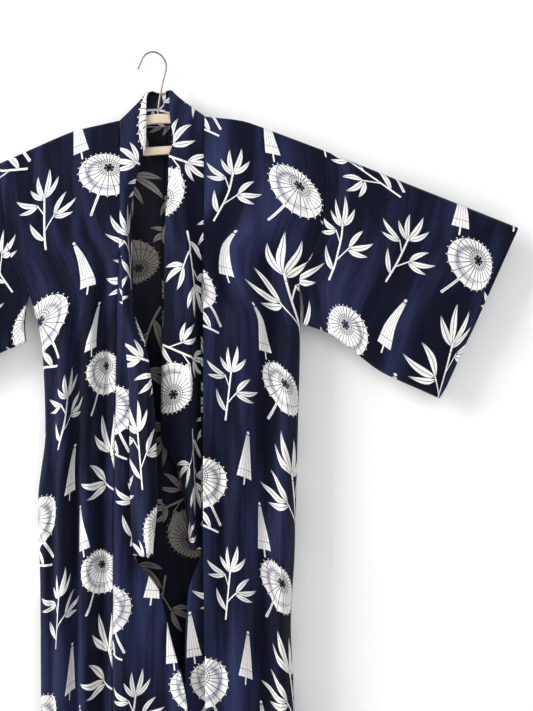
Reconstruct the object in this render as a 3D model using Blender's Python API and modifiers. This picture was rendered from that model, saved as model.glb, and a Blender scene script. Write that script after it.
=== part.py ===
"""Cotton yukata robe hanging open from a small wooden hanger with a wire hook.

The robe is cut as a tailor cuts it: two main panels that run over the shoulders,
two overlap panels, two sleeves and one collar band. Every panel is an open surface
with Solidify. X is the viewer's right, the front faces -Y, and the origin is where
the hook hangs, on the inside of its bend. Tables are in millimetres.
"""
import bisect
import functools
import math
from collections import namedtuple

import bmesh
import bpy

MM = 0.001

# The cloth
WALL = 1.2
COLLAR_WALL = 2.4
SEAM_GAP = 0.45
SHOULDER_RADIUS = 7.6
HEM_DROP = 1380.0
NECK_DROP = 15.0
CENTRE_HEIGHT = -116.6

# Rows and columns of the main panels
ROWS = (0, 6, 12, 30, 60, 95, 130, 165, 200, 232, 265, 300, 336,
        400, 480, 570, 660, 755, 850, 950, 1050, 1210, 1380)
FIRST_CLOSED_ROW = 12
FIRST_NECK_ROW = 2
SIDE_ROUND = 18.0
SIDE_BLEND = 45.0
PANEL_COLUMNS = 14
NECK_COLUMNS = 4
OVERLAP_ROWS = (242, 265, 300, 336, 400, 480, 570, 660, 755, 790, 820, 880, 950, 1050, 1210, 1380)
OVERLAP_COLUMNS = 8

# The hanger
HANGER_X = 8.7
BAR_TOP = -106.2
BAR_DEPTH = 12.0
BAR_HEIGHT = 17.0
BAR_END_HEIGHT = 12.5
BAR_HALF_LENGTH = 135.0
LOWER_BAR_HEIGHT = 14.0
LOWER_BAR_DEPTH = 10.0
LOWER_BAR_TOP = -163.5
LOWER_BAR_HALF_LENGTH = 126.0
TILT = math.radians(3.6)
ARM_SLOPE = math.radians(9.3)
BAR_TOP_CORNER = 6.0
BAR_CORNER = 1.5
POST_RADIUS = 4.5
POST_REACH = 118.0
WIRE_RADIUS = 1.7
WOOD_GAP = 0.3
CLOTH_LIFT = 1.25

# Free slope of each shoulder past the hanger's end
FREE_SLOPE = {1: math.radians(20.6), -1: math.radians(24.0)}
SLOPE_BLEND = 8.0
SLOPE_START = 14.0

# One row for each height of a main panel, by its drop below the shoulder's ridge:
# the side edge, half the opening there, the front's and the back's depth, the front
# edge, and the widths of cloth that the front and the back use up.
Height = namedtuple("Height", "drop side_x side_gap front_y back_y edge_x edge_y front_cut back_cut")
RIGHT = (
    Height(0, 297.5, 7.6, -7.6, 7.6, 90.5, -7.6, 207, 278),
    Height(55, 301.0, 10.0, -11.0, 11.0, 89.0, -12.0, 212, 279),
    Height(120, 297.5, 11.0, -12.0, 12.0, 88.8, -15.0, 213, 280),
    Height(185, 276.0, 9.0, -14.0, 13.0, 88.6, -19.0, 213, 280),
    Height(230, 254.5, 6.0, -16.0, 14.0, 88.6, -23.0, 213, 280),
    Height(290, 256.0, 4.0, -18.0, 15.0, 88.6, -27.0, 213, 280),
    Height(336, 255.5, 0.0, -20.0, 16.0, 88.6, -30.0, 213, 280),
    Height(515, 251.0, 0.0, -25.0, 17.0, 88.6, -36.0, 213, 280),
    Height(705, 246.0, 0.0, -29.0, 18.0, 88.8, -41.0, 213, 280),
    Height(830, 239.5, 0.0, -31.0, 18.0, 90.0, -43.0, 213, 280),
    Height(950, 245.0, 0.0, -32.0, 18.0, 92.0, -44.0, 213, 280),
    Height(1380, 252.0, 0.0, -34.0, 18.0, 98.0, -46.0, 213, 280),
)
LEFT = (
    Height(0, -262.0, 7.6, -7.6, 7.6, -57.0, -7.6, 207, 280),
    Height(55, -261.0, 10.0, -11.0, 11.0, -56.0, -12.0, 207, 280),
    Height(127, -253.0, 11.0, -13.0, 12.0, -55.6, -19.0, 209, 280),
    Height(180, -243.0, 9.0, -15.0, 13.0, -55.0, -25.0, 209, 280),
    Height(230, -217.0, 6.0, -17.0, 14.0, -56.0, -28.0, 209, 280),
    Height(283, -200.0, 4.0, -19.0, 15.0, -58.5, -28.0, 209, 280),
    Height(336, -191.5, 0.0, -21.0, 16.0, -60.0, -28.0, 209, 280),
    Height(476, -186.5, 0.0, -26.0, 17.0, -62.0, -30.0, 209, 280),
    Height(596, -199.0, 0.0, -29.0, 18.0, -64.0, -32.0, 209, 280),
    Height(762, -195.0, 0.0, -31.0, 18.0, -66.0, -34.0, 209, 280),
    Height(1025, -194.0, 0.0, -33.0, 18.0, -67.0, -36.0, 209, 280),
    Height(1380, -200.0, 0.0, -35.0, 18.0, -64.0, -38.0, 209, 280),
)
HEIGHTS = {1: RIGHT, -1: LEFT}

# The centre back seam leans a little
Centre = namedtuple("Centre", "drop x")
CENTRE_SEAM = (Centre(0, 25.5), Centre(110, 21.0), Centre(250, 14.5), Centre(1380, 16.0))

# Soft folds that run down a panel: where each starts and ends across, how wide it is
# to either side, how far it stands out (below zero: a trough), and its two heights.
Fold = namedtuple("Fold", "top_x low_x half_width depth start end")
FRONT_FOLDS = {
    1: (
        Fold(156, 204, 24, 4, 30, 290),
        Fold(128, 120, 22, -4, 150, 1500),
        Fold(160, 150, 30, 9, 200, 1500),
        Fold(214, 196, 26, -9, 180, 1500),
        Fold(244, 226, 26, 9, 240, 1500),
    ),
    -1: (
        Fold(-110, -150, 26, 4, 30, 330),
        Fold(-178, -172, 16, -5, 260, 1500),
        Fold(-150, -152, 22, 9, 220, 1500),
        Fold(-130, -133, 18, -6, 240, 1500),
        Fold(-106, -112, 22, 9, 230, 1500),
        Fold(-82, -86, 22, -9, 180, 1500),
    ),
}
BACK_FOLDS = {
    1: (
        Fold(64, 58, 26, 5, 200, 1500),
        Fold(106, 102, 24, 4, 200, 1500),
        Fold(150, 142, 28, 8, 220, 1500),
        Fold(198, 182, 24, -7, 190, 1500),
        Fold(238, 220, 26, 7, 260, 1500),
    ),
    -1: (
        Fold(-22, -18, 26, 5, 240, 1500),
        Fold(-64, -58, 24, -7, 180, 1500),
        Fold(-104, -96, 26, 8, 210, 1500),
        Fold(-148, -134, 24, -7, 200, 1500),
        Fold(-186, -168, 24, 8, 260, 1500),
    ),
}

# The overlap panels seen from above: a first turn, a second turn and the free edge
Overlap = namedtuple("Overlap", "drop first_x first_y second_x second_y edge_x edge_y")
OVERLAP_RIGHT = (
    Overlap(236, 89.6, -19.6, 88.6, -17.8, 85.6, -17.4),
    Overlap(300, 91.5, -17.5, 90.5, -13.5, 84.5, -13.0),
    Overlap(400, 95.0, -17.0, 94.0, -10.0, 84.0, -11.0),
    Overlap(570, 104.0, -18.0, 103.0, -8.0, 84.0, -10.0),
    Overlap(755, 110.0, -18.0, 109.0, -6.0, 84.0, -10.0),
    Overlap(830, 108.0, -18.0, 104.0, -6.0, 62.0, -11.0),
    Overlap(950, 106.0, -19.0, 100.0, -6.0, 56.0, -13.0),
    Overlap(1380, 106.0, -19.0, 100.0, -6.0, 62.0, -14.0),
)
OVERLAP_LEFT = (
    Overlap(236, -54.0, -29.0, -52.8, -30.5, -51.0, -32.0),
    Overlap(340, -57.0, -31.0, -53.0, -35.0, -48.5, -37.0),
    Overlap(484, -57.0, -36.0, -48.0, -40.0, -38.0, -40.0),
    Overlap(623, -57.0, -40.0, -47.0, -42.0, -37.0, -39.0),
    Overlap(755, -58.0, -45.0, -46.0, -46.0, -31.0, -37.0),
    Overlap(790, -56.0, -47.0, -36.0, -42.0, -6.0, -30.0),
    Overlap(820, -54.0, -48.0, -24.0, -36.0, 14.0, -28.0),
    Overlap(890, -52.0, -50.0, -12.0, -30.0, 31.0, -31.0),
    Overlap(1025, -48.0, -52.0, 2.0, -27.0, 62.0, -36.0),
    Overlap(1380, -44.0, -54.0, 6.0, -26.0, 74.0, -42.0),
)
OVERLAPS = {1: OVERLAP_RIGHT, -1: OVERLAP_LEFT}
OVERLAP_START = 236.0
# The right one is folded back behind its main panel, the left one carries on from it
Shift = namedtuple("Shift", "x y")
OVERLAP_START_SHIFT = {1: Shift(0.6, 2.1), -1: Shift(0.8, 0.0)}

# The collar, by its seam's drop below the ridge; below zero it runs on round the back of
# the neck to the centre at CENTRE_KEY. A point half way, the fold, how far the fold
# stands above the seam, and the free edge of the inner half, which opens out low down.
Band = namedtuple("Band", "drop mid_x mid_y fold_x fold_y rise free_x free_y")
CENTRE_KEY = -60.0
BAND_RIGHT = (
    Band(-60, 20.0, 12.5, 14.0, 14.5, 57.0, 14.0, 9.5),
    Band(-45, 32.0, 12.0, 21.0, 14.0, 58.0, 20.5, 9.0),
    Band(-30, 43.0, 11.0, 27.0, 12.5, 58.0, 25.5, 8.0),
    Band(-15, 54.0, 9.5, 31.0, 10.5, 56.0, 28.0, 6.5),
    Band(0, 62.0, 2.0, 33.0, 4.0, 36.0, 28.5, 2.0),
    Band(22, 60.0, -10.5, 34.0, -13.0, 18.0, 30.0, -11.0),
    Band(50, 62.0, -15.0, 41.0, -15.5, 4.0, 37.0, -13.0),
    Band(75, 64.0, -17.0, 44.4, -18.5, 0.0, 28.5, -12.0),
    Band(110, 66.0, -19.0, 49.5, -23.0, 0.0, 27.8, -9.0),
    Band(160, 72.0, -20.0, 57.4, -30.0, 0.0, 24.5, -9.0),
    Band(215, 77.0, -20.0, 62.6, -36.0, 0.0, 21.5, -10.0),
    Band(345, 78.0, -16.0, 68.0, -43.0, 0.0, 20.0, -14.0),
    Band(470, 77.0, -13.0, 67.5, -45.0, 0.0, 15.5, -16.0),
    Band(560, 76.5, -12.0, 67.5, -44.0, 0.0, 15.0, -12.0),
    Band(615, 76.5, -11.0, 68.0, -42.0, 0.0, 44.0, -6.0),
    Band(690, 76.5, -10.0, 70.0, -38.0, 0.0, 58.0, -6.0),
    Band(755, 78.0, -10.0, 73.0, -32.0, 0.0, 64.0, -6.0),
)
BAND_LEFT = (
    Band(-60, 20.0, 12.5, 14.0, 14.5, 57.0, 14.0, 9.5),
    Band(-45, 5.0, 12.0, 6.0, 14.0, 58.0, 6.5, 9.0),
    Band(-30, -8.0, 11.0, -3.0, 12.5, 61.0, -1.5, 8.0),
    Band(-15, -24.0, 9.5, -10.0, 10.5, 59.0, -7.0, 6.5),
    Band(0, -36.0, 2.0, -16.0, 4.0, 38.0, -11.5, 2.0),
    Band(22, -36.0, -10.5, -15.0, -13.0, 20.0, -11.0, -11.0),
    Band(50, -36.0, -15.5, -15.8, -16.0, 5.0, -11.5, -13.5),
    Band(88, -42.0, -18.0, -26.0, -12.0, 0.0, -24.5, -9.0),
    Band(127, -46.0, -22.0, -37.0, -3.0, 0.0, -34.5, 1.5),
    Band(165, -46.5, -27.0, -41.5, 2.0, 0.0, -40.5, 5.5),
    Band(240, -43.0, -31.0, -38.0, 2.0, 0.0, -37.0, 5.5),
    Band(330, -40.0, -37.0, -35.5, -6.0, 0.0, -34.5, -2.5),
    Band(390, -30.0, -46.0, -16.0, -36.0, 0.0, -12.0, -33.0),
    Band(440, -25.0, -52.0, -6.0, -58.0, 0.0, -1.0, -54.0),
    Band(560, -22.0, -53.0, -3.0, -72.0, 0.0, 9.0, -55.0),
    Band(660, -21.0, -54.0, -2.6, -74.0, 0.0, 11.0, -54.0),
    Band(755, -17.0, -52.0, -2.6, -72.0, 0.0, 4.0, -62.0),
)
BANDS = {1: BAND_RIGHT, -1: BAND_LEFT}
NECK_SEAM_GAP = 1.3
LOW_SEAM_GAP = 1.4
BAND_OUTER_COLUMNS = 6
BAND_INNER_COLUMNS = 2

# The sleeves seen from the front: each edge has a few points across and down
Spot = namedtuple("Spot", "x z")
SleeveOutline = namedtuple("SleeveOutline", "cuff_top cuff_middle cuff_low corner bottom inner_low")
SLEEVES = {
    1: SleeveOutline(
        cuff_top=Spot(635.0, -304.5),
        cuff_middle=Spot(592.0, -400.0),
        cuff_low=Spot(549.0, -496.0),
        corner=Spot(501.0, -602.0),
        bottom=(Spot(470.0, -588.0), Spot(398.0, -555.0), Spot(352.0, -521.0), Spot(306.0, -488.0)),
        inner_low=Spot(260.0, -471.5),
    ),
    -1: SleeveOutline(
        cuff_top=Spot(-591.0, -341.0),
        cuff_middle=Spot(-553.0, -433.0),
        cuff_low=Spot(-514.0, -526.0),
        corner=Spot(-465.0, -636.0),
        bottom=(Spot(-436.0, -622.0), Spot(-380.0, -588.0), Spot(-322.0, -548.0), Spot(-266.0, -522.0)),
        inner_low=Spot(-221.0, -503.0),
    ),
}
SLEEVE_COLUMNS = 12
ARMHOLE_DROP = 232.0
CUFF_OPEN_SHARE = 0.62
CUFF_HALF_SLIT = 0.8
SLEEVE_FREE_GAP = 5.0
SLEEVE_LOW_RADIUS = 4.0

# Creases of the sleeves: how far along at the top and at the bottom edge, how wide,
# how far they stand out.
Crease = namedtuple("Crease", "top_share low_share half_width depth")
SLEEVE_CREASES = (
    Crease(0.30, 0.10, 0.10, -4.0),
    Crease(0.46, 0.24, 0.10, 5.0),
    Crease(0.60, 0.42, 0.10, -4.0),
    Crease(0.74, 0.62, 0.12, 4.0),
)

# Hook: the middle of its wire, from the tip over the bend to the upper bar
HOOK_ROUTE = (
    Spot(-26.5, -29.0), Spot(-21.8, -17.5), Spot(-16.4, -6.8), Spot(-9.2, -0.4), Spot(0.0, 1.7),
    Spot(9.8, -1.0), Spot(18.6, -9.6), Spot(22.9, -22.5), Spot(20.9, -36.0), Spot(16.4, -53.0),
    Spot(13.2, -70.0), Spot(10.2, -89.0), Spot(HANGER_X, BAR_TOP + WOOD_GAP),
)
HOOK_STEPS = 40

COLOURS = {
    "cloth": ((0.017, 0.022, 0.075, 1.0), 0.85, 0.0),
    "wood": ((0.56, 0.47, 0.36, 1.0), 0.6, 0.0),
    "wire": ((0.30, 0.25, 0.21, 1.0), 0.35, 0.9),
}


def clamp(value, low=0.0, high=1.0):
    return max(low, min(high, value))


def ease(value):
    """Smooth step from 0 to 1."""
    value = clamp(value)
    return value * value * (3.0 - 2.0 * value)


def mix(first, second, share):
    return first + (second - first) * share


def slope_at(keys, values, index):
    """Slope that never overshoots the table's own values."""
    if index in (0, len(keys) - 1):
        return 0.0
    before = (values[index] - values[index - 1]) / (keys[index] - keys[index - 1])
    after = (values[index + 1] - values[index]) / (keys[index + 1] - keys[index])
    if before * after <= 0.0:
        return 0.0
    return 2.0 * before * after / (before + after)


def read(table, drop, column):
    """Value of a column between two rows of a table, along a smooth curve."""
    keys = [row.drop for row in table]
    values = [getattr(row, column) for row in table]
    if drop <= keys[0]:
        return values[0]
    if drop >= keys[-1]:
        return values[-1]
    index = bisect.bisect_right(keys, drop) - 1
    span = keys[index + 1] - keys[index]
    t = (drop - keys[index]) / span
    start = slope_at(keys, values, index) * span
    end = slope_at(keys, values, index + 1) * span
    return ((2 * t ** 3 - 3 * t ** 2 + 1) * values[index] + (t ** 3 - 2 * t ** 2 + t) * start
            + (3 * t ** 2 - 2 * t ** 3) * values[index + 1] + (t ** 3 - t ** 2) * end)


def through(points, share):
    """Point on a smooth curve through a few points, by its share of their count."""
    last = len(points) - 1
    place = clamp(share) * last
    index = min(int(place), last - 1)
    t = place - index
    before = points[max(index - 1, 0)]
    start = points[index]
    end = points[index + 1]
    after = points[min(index + 2, last)]
    found = []
    for a, b, c, d in zip(before, start, end, after):
        found.append(0.5 * (2 * b + (c - a) * t + (2 * a - 5 * b + 4 * c - d) * t ** 2
                            + (3 * b - a - 3 * c + d) * t ** 3))
    return tuple(found)


def measured(points):
    """Running length along a list of points."""
    lengths = [0.0]
    for first, second in zip(points, points[1:]):
        lengths.append(lengths[-1] + math.dist(first, second))
    return lengths


def at_length(points, lengths, share):
    """Point at a share of a polyline's length."""
    goal = clamp(share) * lengths[-1]
    index = min(bisect.bisect_right(lengths, goal) - 1, len(points) - 2)
    span = lengths[index + 1] - lengths[index]
    t = (goal - lengths[index]) / span if span else 0.0
    return tuple(mix(a, b, t) for a, b in zip(points[index], points[index + 1]))


def bar_top(x):
    """Height of the upper bar's top: a tilted bow, round in the middle."""
    away = x - HANGER_X
    return BAR_TOP + away * math.tan(TILT) - (math.hypot(away, 14.0) - 14.0) * math.tan(ARM_SLOPE)


def ridge(x):
    """Height of the shoulder's ridge: over the hanger's arm, then at its free slope."""
    side = 1 if x > HANGER_X else -1
    arm_angle = math.tan(ARM_SLOPE) - side * math.tan(TILT)
    past = abs(x - HANGER_X) - BAR_HALF_LENGTH - SLOPE_START
    bend = SLOPE_BLEND * math.log(1.0 + math.exp(past / SLOPE_BLEND))
    return bar_top(x) + CLOTH_LIFT - bend * (math.tan(FREE_SLOPE[side]) - arm_angle)


def fall(drop):
    """How far a point lies below the ridge after the round of the shoulder."""
    quarter = SHOULDER_RADIUS * math.pi / 2.0
    if drop < quarter:
        return SHOULDER_RADIUS * (1.0 - math.cos(drop / SHOULDER_RADIUS))
    return SHOULDER_RADIUS + drop - quarter


def reach(drop):
    """Share of the full depth that a point has while it rounds the shoulder."""
    return math.sin(min(drop / SHOULDER_RADIUS, math.pi / 2.0))


def fold_depth(folds, x, drop):
    """Sum of the folds at one place of a panel."""
    total = 0.0
    for fold in folds:
        share = clamp((drop - fold.start) / 500.0)
        middle = mix(fold.top_x, fold.low_x, share)
        away = abs(x - middle) / fold.half_width
        if away >= 1.0:
            continue
        strength = ease((drop - fold.start) / 180.0) * ease((fold.end - drop) / 120.0)
        total += fold.depth * strength * 0.5 * (1.0 + math.cos(math.pi * away))
    return total


def row_points(side, face, drop, gain):
    """One row of a main panel seen from above, from its side edge inwards."""
    table = HEIGHTS[side]
    side_x = read(table, drop, "side_x")
    gap = read(table, drop, "side_gap")
    if face == "front":
        outward = -1.0
        inner_x = read(table, drop, "edge_x")
        depth = read(table, drop, "front_y")
        inner_y = read(table, drop, "edge_y")
        folds = FRONT_FOLDS[side]
    else:
        outward = 1.0
        inner_x = read(CENTRE_SEAM, drop, "x") + side * SEAM_GAP / 2.0
        depth = read(table, drop, "back_y")
        inner_y = depth
        folds = BACK_FOLDS[side]
    side_y = outward * gap
    width = abs(inner_x - side_x)
    count = 150
    points = []
    for step in range(count + 1):
        share = (step / count) ** 1.3
        x = mix(side_x, inner_x, share)
        run = share * width
        rounded = math.sqrt(1.0 - (1.0 - clamp(run / SIDE_ROUND)) ** 2)
        turned = mix(ease(run / SIDE_BLEND), rounded, ease((drop - 240.0) / 96.0))
        base = mix(depth, inner_y, ease((share - 0.55) / 0.45))
        window = ease(run / 26.0) * ease((width - run) / 24.0)
        y = mix(side_y, base, turned) + outward * gain * window * fold_depth(folds, x, drop)
        points.append((x, y * reach(drop)))
    return points


@functools.lru_cache(maxsize=None)
def row_curve(side, face, drop):
    """A row whose folds use up the panel's width of cloth."""
    goal = read(HEIGHTS[side], drop, face + "_cut")
    low = 0.5
    high = 1.9
    for _ in range(14):
        gain = 0.5 * (low + high)
        points = row_points(side, face, drop, gain)
        lengths = measured(points)
        if lengths[-1] < goal:
            low = gain
        else:
            high = gain
    return points, lengths


def shoulder_x(side, share):
    """Place on the ridge, from the sleeve seam to the side of the neck."""
    top = HEIGHTS[side][0]
    return mix(top.side_x, top.edge_x, share)


def panel_point(side, face, share, drop):
    """Point of a main panel; share is 0 at the side and 1 at the neck's side."""
    points, lengths = row_curve(side, face, drop)
    along = share
    if face == "back":
        top = HEIGHTS[side][0]
        along = share * abs(top.edge_x - top.side_x) / abs(CENTRE_SEAM[0].x - top.side_x)
    x, y = at_length(points, lengths, along)
    return x, y, ridge(shoulder_x(side, share)) - fall(drop)


def back_neck_point(side, share, drop):
    """Point of the back between the neck's side, 0, and the centre seam, 1."""
    top_drop = ROWS[FIRST_NECK_ROW]
    lowered = NECK_DROP + (drop - top_drop) * (HEM_DROP - NECK_DROP) / (HEM_DROP - top_drop)
    points, lengths = row_curve(side, "back", lowered)
    top = HEIGHTS[side][0]
    neck = abs(top.edge_x - top.side_x) / abs(CENTRE_SEAM[0].x - top.side_x)
    x, y = at_length(points, lengths, mix(neck, 1.0, share))
    height = mix(ridge(top.edge_x), CENTRE_HEIGHT, share)
    return x, y, height - fall(lowered)


def overlap_curve(side, drop):
    """One row of an overlap panel seen from above, from the main panel to its edge."""
    table = OVERLAPS[side]
    start = panel_point(side, "front", 1.0, drop)
    route = (
        (start[0] + OVERLAP_START_SHIFT[side].x, start[1] + OVERLAP_START_SHIFT[side].y),
        (read(table, drop, "first_x"), read(table, drop, "first_y")),
        (read(table, drop, "second_x"), read(table, drop, "second_y")),
        (read(table, drop, "edge_x"), read(table, drop, "edge_y")),
    )
    return [through(route, step / 60.0) for step in range(61)]


def overlap_point(side, share, drop):
    points = overlap_curve(side, drop)
    x, y = at_length(points, measured(points), share)
    height = ridge(HEIGHTS[side][0].edge_x)
    return x, y, height - fall(drop)


def front_edge(side, drop):
    """Edge that the collar is sewn to: the main panel's, then the overlap's."""
    if drop < OVERLAP_START:
        return panel_point(side, "front", 1.0, drop)
    return overlap_point(side, 1.0, drop)


def seam_point(side, drop):
    """Where the collar's seam lies, just clear of the edge that it is sewn to."""
    top_drop = ROWS[FIRST_NECK_ROW]
    if drop < -top_drop:
        share = (drop + top_drop) / (CENTRE_KEY + top_drop)
        x, y, z = back_neck_point(side, share, top_drop)
        return x, y + 0.4, z + NECK_SEAM_GAP
    if drop < 0.0:
        x, y, z = panel_point(side, "back", 1.0, -drop)
        return x - side * NECK_SEAM_GAP, y + 0.4, z + NECK_SEAM_GAP
    x, y, z = front_edge(side, drop)
    gap = mix(NECK_SEAM_GAP, SEAM_GAP, ease((drop - 30.0) / 60.0))
    rise = gap - SEAM_GAP
    if side < 0:
        gap = mix(gap, LOW_SEAM_GAP, ease((drop - 330.0) / 100.0))
    return x - side * gap, y, z + rise


def collar_station(side, drop):
    """Seam, middle, fold and free edge of the collar at one place along it."""
    table = BANDS[side]
    seam = seam_point(side, drop)
    rise = read(table, drop, "rise")
    return (
        seam,
        (read(table, drop, "mid_x"), read(table, drop, "mid_y"), seam[2] + 0.52 * rise),
        (read(table, drop, "fold_x"), read(table, drop, "fold_y"), seam[2] + rise),
        (read(table, drop, "free_x"), read(table, drop, "free_y"), seam[2] + rise),
    )


def collar_stations():
    """All stations, from the lower end of the left front to that of the right one."""
    stations = []
    for side in (-1, 1):
        end = BANDS[side][-1].drop
        drops = [drop for drop in ROWS if drop < OVERLAP_START]
        drops += [drop for drop in OVERLAP_ROWS if drop < end] + [end]
        top_drop = ROWS[FIRST_NECK_ROW]
        around = [mix(-top_drop, CENTRE_KEY, step / NECK_COLUMNS) for step in range(NECK_COLUMNS, -1, -1)]
        around.append(-ROWS[FIRST_NECK_ROW - 1])
        run = [collar_station(side, drop) for drop in around + drops]
        stations += list(reversed(run)) if side < 0 else run[1:]
    return stations


def metres(point):
    return tuple(value * MM for value in point)


def material(name):
    found = bpy.data.materials.get(name)
    if found:
        return found
    colour, roughness, metallic = COLOURS[name]
    made = bpy.data.materials.new(name)
    made.use_nodes = True
    shader = made.node_tree.nodes["Principled BSDF"]
    shader.inputs["Base Color"].default_value = colour
    shader.inputs["Roughness"].default_value = roughness
    shader.inputs["Metallic"].default_value = metallic
    made.diffuse_color = colour
    return made


def add_mesh(name, mesh, finish, collection):
    thing = bpy.data.objects.new(name, mesh)
    collection.objects.link(thing)
    mesh.materials.append(material(finish))
    return thing


def mesh_from_rows(name, rows, closed_across=False):
    """Surface over rows of points; a point that two rows share is one vertex."""
    builder = bmesh.new()
    corners = {}

    def corner(point):
        key = tuple(round(value, 4) for value in point)
        if key not in corners:
            corners[key] = builder.verts.new(metres(point))
        return corners[key]

    for upper, lower in zip(rows, rows[1:]):
        count = len(upper)
        spans = range(count if closed_across else count - 1)
        for index in spans:
            after = (index + 1) % count
            ring = []
            for point in (upper[index], lower[index], lower[after], upper[after]):
                vertex = corner(point)
                if vertex not in ring:
                    ring.append(vertex)
            if len(ring) > 2:
                builder.faces.new(ring)
    bmesh.ops.recalc_face_normals(builder, faces=builder.faces)
    mesh = bpy.data.meshes.new(name)
    builder.to_mesh(mesh)
    builder.free()
    mesh.shade_smooth()
    return mesh


def join_meshes(name, meshes):
    """One surface from several, joined where their points meet."""
    builder = bmesh.new()
    for mesh in meshes:
        builder.from_mesh(mesh)
        bpy.data.meshes.remove(mesh)
    bmesh.ops.remove_doubles(builder, verts=builder.verts, dist=0.00002)
    bmesh.ops.recalc_face_normals(builder, faces=builder.faces)
    joined = bpy.data.meshes.new(name)
    builder.to_mesh(joined)
    builder.free()
    joined.shade_smooth()
    return joined


def thicken(thing, wall):
    """Give an open surface the thickness of cloth."""
    solidify = thing.modifiers.new("wall", "SOLIDIFY")
    solidify.thickness = wall * MM
    solidify.offset = 0.0
    solidify.use_even_offset = False


def make_main_panel(side, name, collection):
    """Front and back in one cut, joined over the shoulder and down the side."""
    shares = [index / PANEL_COLUMNS for index in range(PANEL_COLUMNS + 1)]
    neck_shares = [index / NECK_COLUMNS for index in range(1, NECK_COLUMNS + 1)]
    front_rows = []
    back_rows = []
    for index, drop in enumerate(ROWS):
        front_rows.append([panel_point(side, "front", share, drop) for share in shares])
        back_row = [panel_point(side, "back", share, drop) for share in shares]
        if index >= FIRST_NECK_ROW:
            back_row += [back_neck_point(side, share, drop) for share in neck_shares]
        if index >= FIRST_CLOSED_ROW:
            back_row[0] = front_rows[-1][0]
        back_rows.append(back_row)
    back_rows[0] = front_rows[0]
    over_ridge = [row[:len(shares)] for row in back_rows[:FIRST_NECK_ROW + 1]]
    surface = join_meshes(name, [
        mesh_from_rows("front", front_rows),
        mesh_from_rows("over_ridge", over_ridge),
        mesh_from_rows("back", back_rows[FIRST_NECK_ROW:]),
    ])
    thicken(add_mesh(name, surface, "cloth", collection), WALL)


def make_overlap(side, name, collection):
    """Long panel sewn to the front edge of a main panel."""
    shares = [index / OVERLAP_COLUMNS for index in range(OVERLAP_COLUMNS + 1)]
    rows = [[overlap_point(side, share, drop) for share in shares] for drop in OVERLAP_ROWS]
    thicken(add_mesh(name, mesh_from_rows(name, rows), "cloth", collection), WALL)


def make_collar(collection):
    """Double band round the neck and down both fronts, opened out on the right one."""
    rows = []
    for lines in collar_stations():
        outer = lines[:3]
        dense = [through(outer, part / 24.0) for part in range(25)]
        lengths = measured(dense)
        row = [at_length(dense, lengths, part / BAND_OUTER_COLUMNS)
               for part in range(BAND_OUTER_COLUMNS + 1)]
        for part in range(1, BAND_INNER_COLUMNS + 1):
            share = part / BAND_INNER_COLUMNS
            row.append(tuple(mix(a, b, share) for a, b in zip(lines[2], lines[3])))
        rows.append(row)
    thicken(add_mesh("collar", mesh_from_rows("collar", rows), "cloth", collection), COLLAR_WALL)


def sleeve_depth(side, along, down, whole):
    """Half the thickness of the hanging sleeve at a place on it."""
    drop = down * whole
    inner = read(HEIGHTS[side], drop, "side_gap") if drop <= ARMHOLE_DROP else SLEEVE_FREE_GAP
    middle = 9.0 + 7.0 * math.sin(math.pi * down) * math.sin(math.pi * min(along * 1.2, 1.0))
    cuff = 9.0
    if down > CUFF_OPEN_SHARE:
        cuff = mix(9.0, CUFF_HALF_SLIT, ease((down - CUFF_OPEN_SHARE) / 0.06))
    depth = mix(inner, middle, ease(along / 0.3))
    return mix(depth, cuff, ease((along - 0.82) / 0.18))


def sleeve_crease(along, down):
    """How far the creases move a face at a place, more towards its lower part."""
    total = 0.0
    for crease in SLEEVE_CREASES:
        middle = mix(crease.top_share, crease.low_share, down)
        away = abs(along - middle) / crease.half_width
        if away < 1.0:
            total += crease.depth * 0.5 * (1.0 + math.cos(math.pi * away))
    return total * math.sin(math.pi * clamp(down)) * ease((1.0 - along) / 0.2) * ease(along / 0.12)


def sleeve_edges(side):
    """The four edges of a sleeve seen from the front, as functions of a share."""
    outline = SLEEVES[side]
    start_x = HEIGHTS[side][0].side_x + side * SEAM_GAP
    seam_height = ridge(HEIGHTS[side][0].side_x)
    top = ((start_x, ridge(start_x)), outline.cuff_top)
    cuff = (outline.cuff_top, outline.cuff_middle, outline.cuff_low, outline.corner)
    bottom = (outline.inner_low,) + tuple(reversed(outline.bottom)) + (outline.corner,)
    seam_end = seam_height - fall(ARMHOLE_DROP)
    whole = seam_height - outline.inner_low.z

    def inner(share):
        drop = share * whole
        if drop <= ARMHOLE_DROP:
            return read(HEIGHTS[side], drop, "side_x") + side * SEAM_GAP, seam_height - fall(drop)
        free = (drop - ARMHOLE_DROP) / (whole - ARMHOLE_DROP)
        start = read(HEIGHTS[side], ARMHOLE_DROP, "side_x") + side * SEAM_GAP
        away = side * 4.0 * math.sin(math.pi * free)
        return mix(start, outline.inner_low.x, ease(free)) + away, mix(seam_end, outline.inner_low.z, free)

    return (lambda share: through(top, share), lambda share: through(bottom, share),
            inner, lambda share: through(cuff, share), whole)


def sleeve_place(edges, along, down):
    """Place on the sleeve seen from the front, between its four edges."""
    top, bottom, inner, cuff, _ = edges
    above = top(along)
    below = bottom(along)
    near = inner(down)
    far = cuff(down)
    corners = (inner(0.0), cuff(0.0), inner(1.0), cuff(1.0))
    found = []
    for axis in range(2):
        between_rows = mix(above[axis], below[axis], down)
        between_columns = mix(near[axis], far[axis], along)
        corner_part = mix(mix(corners[0][axis], corners[1][axis], along),
                          mix(corners[2][axis], corners[3][axis], along), down)
        found.append(between_rows + between_columns - corner_part)
    return found


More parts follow.
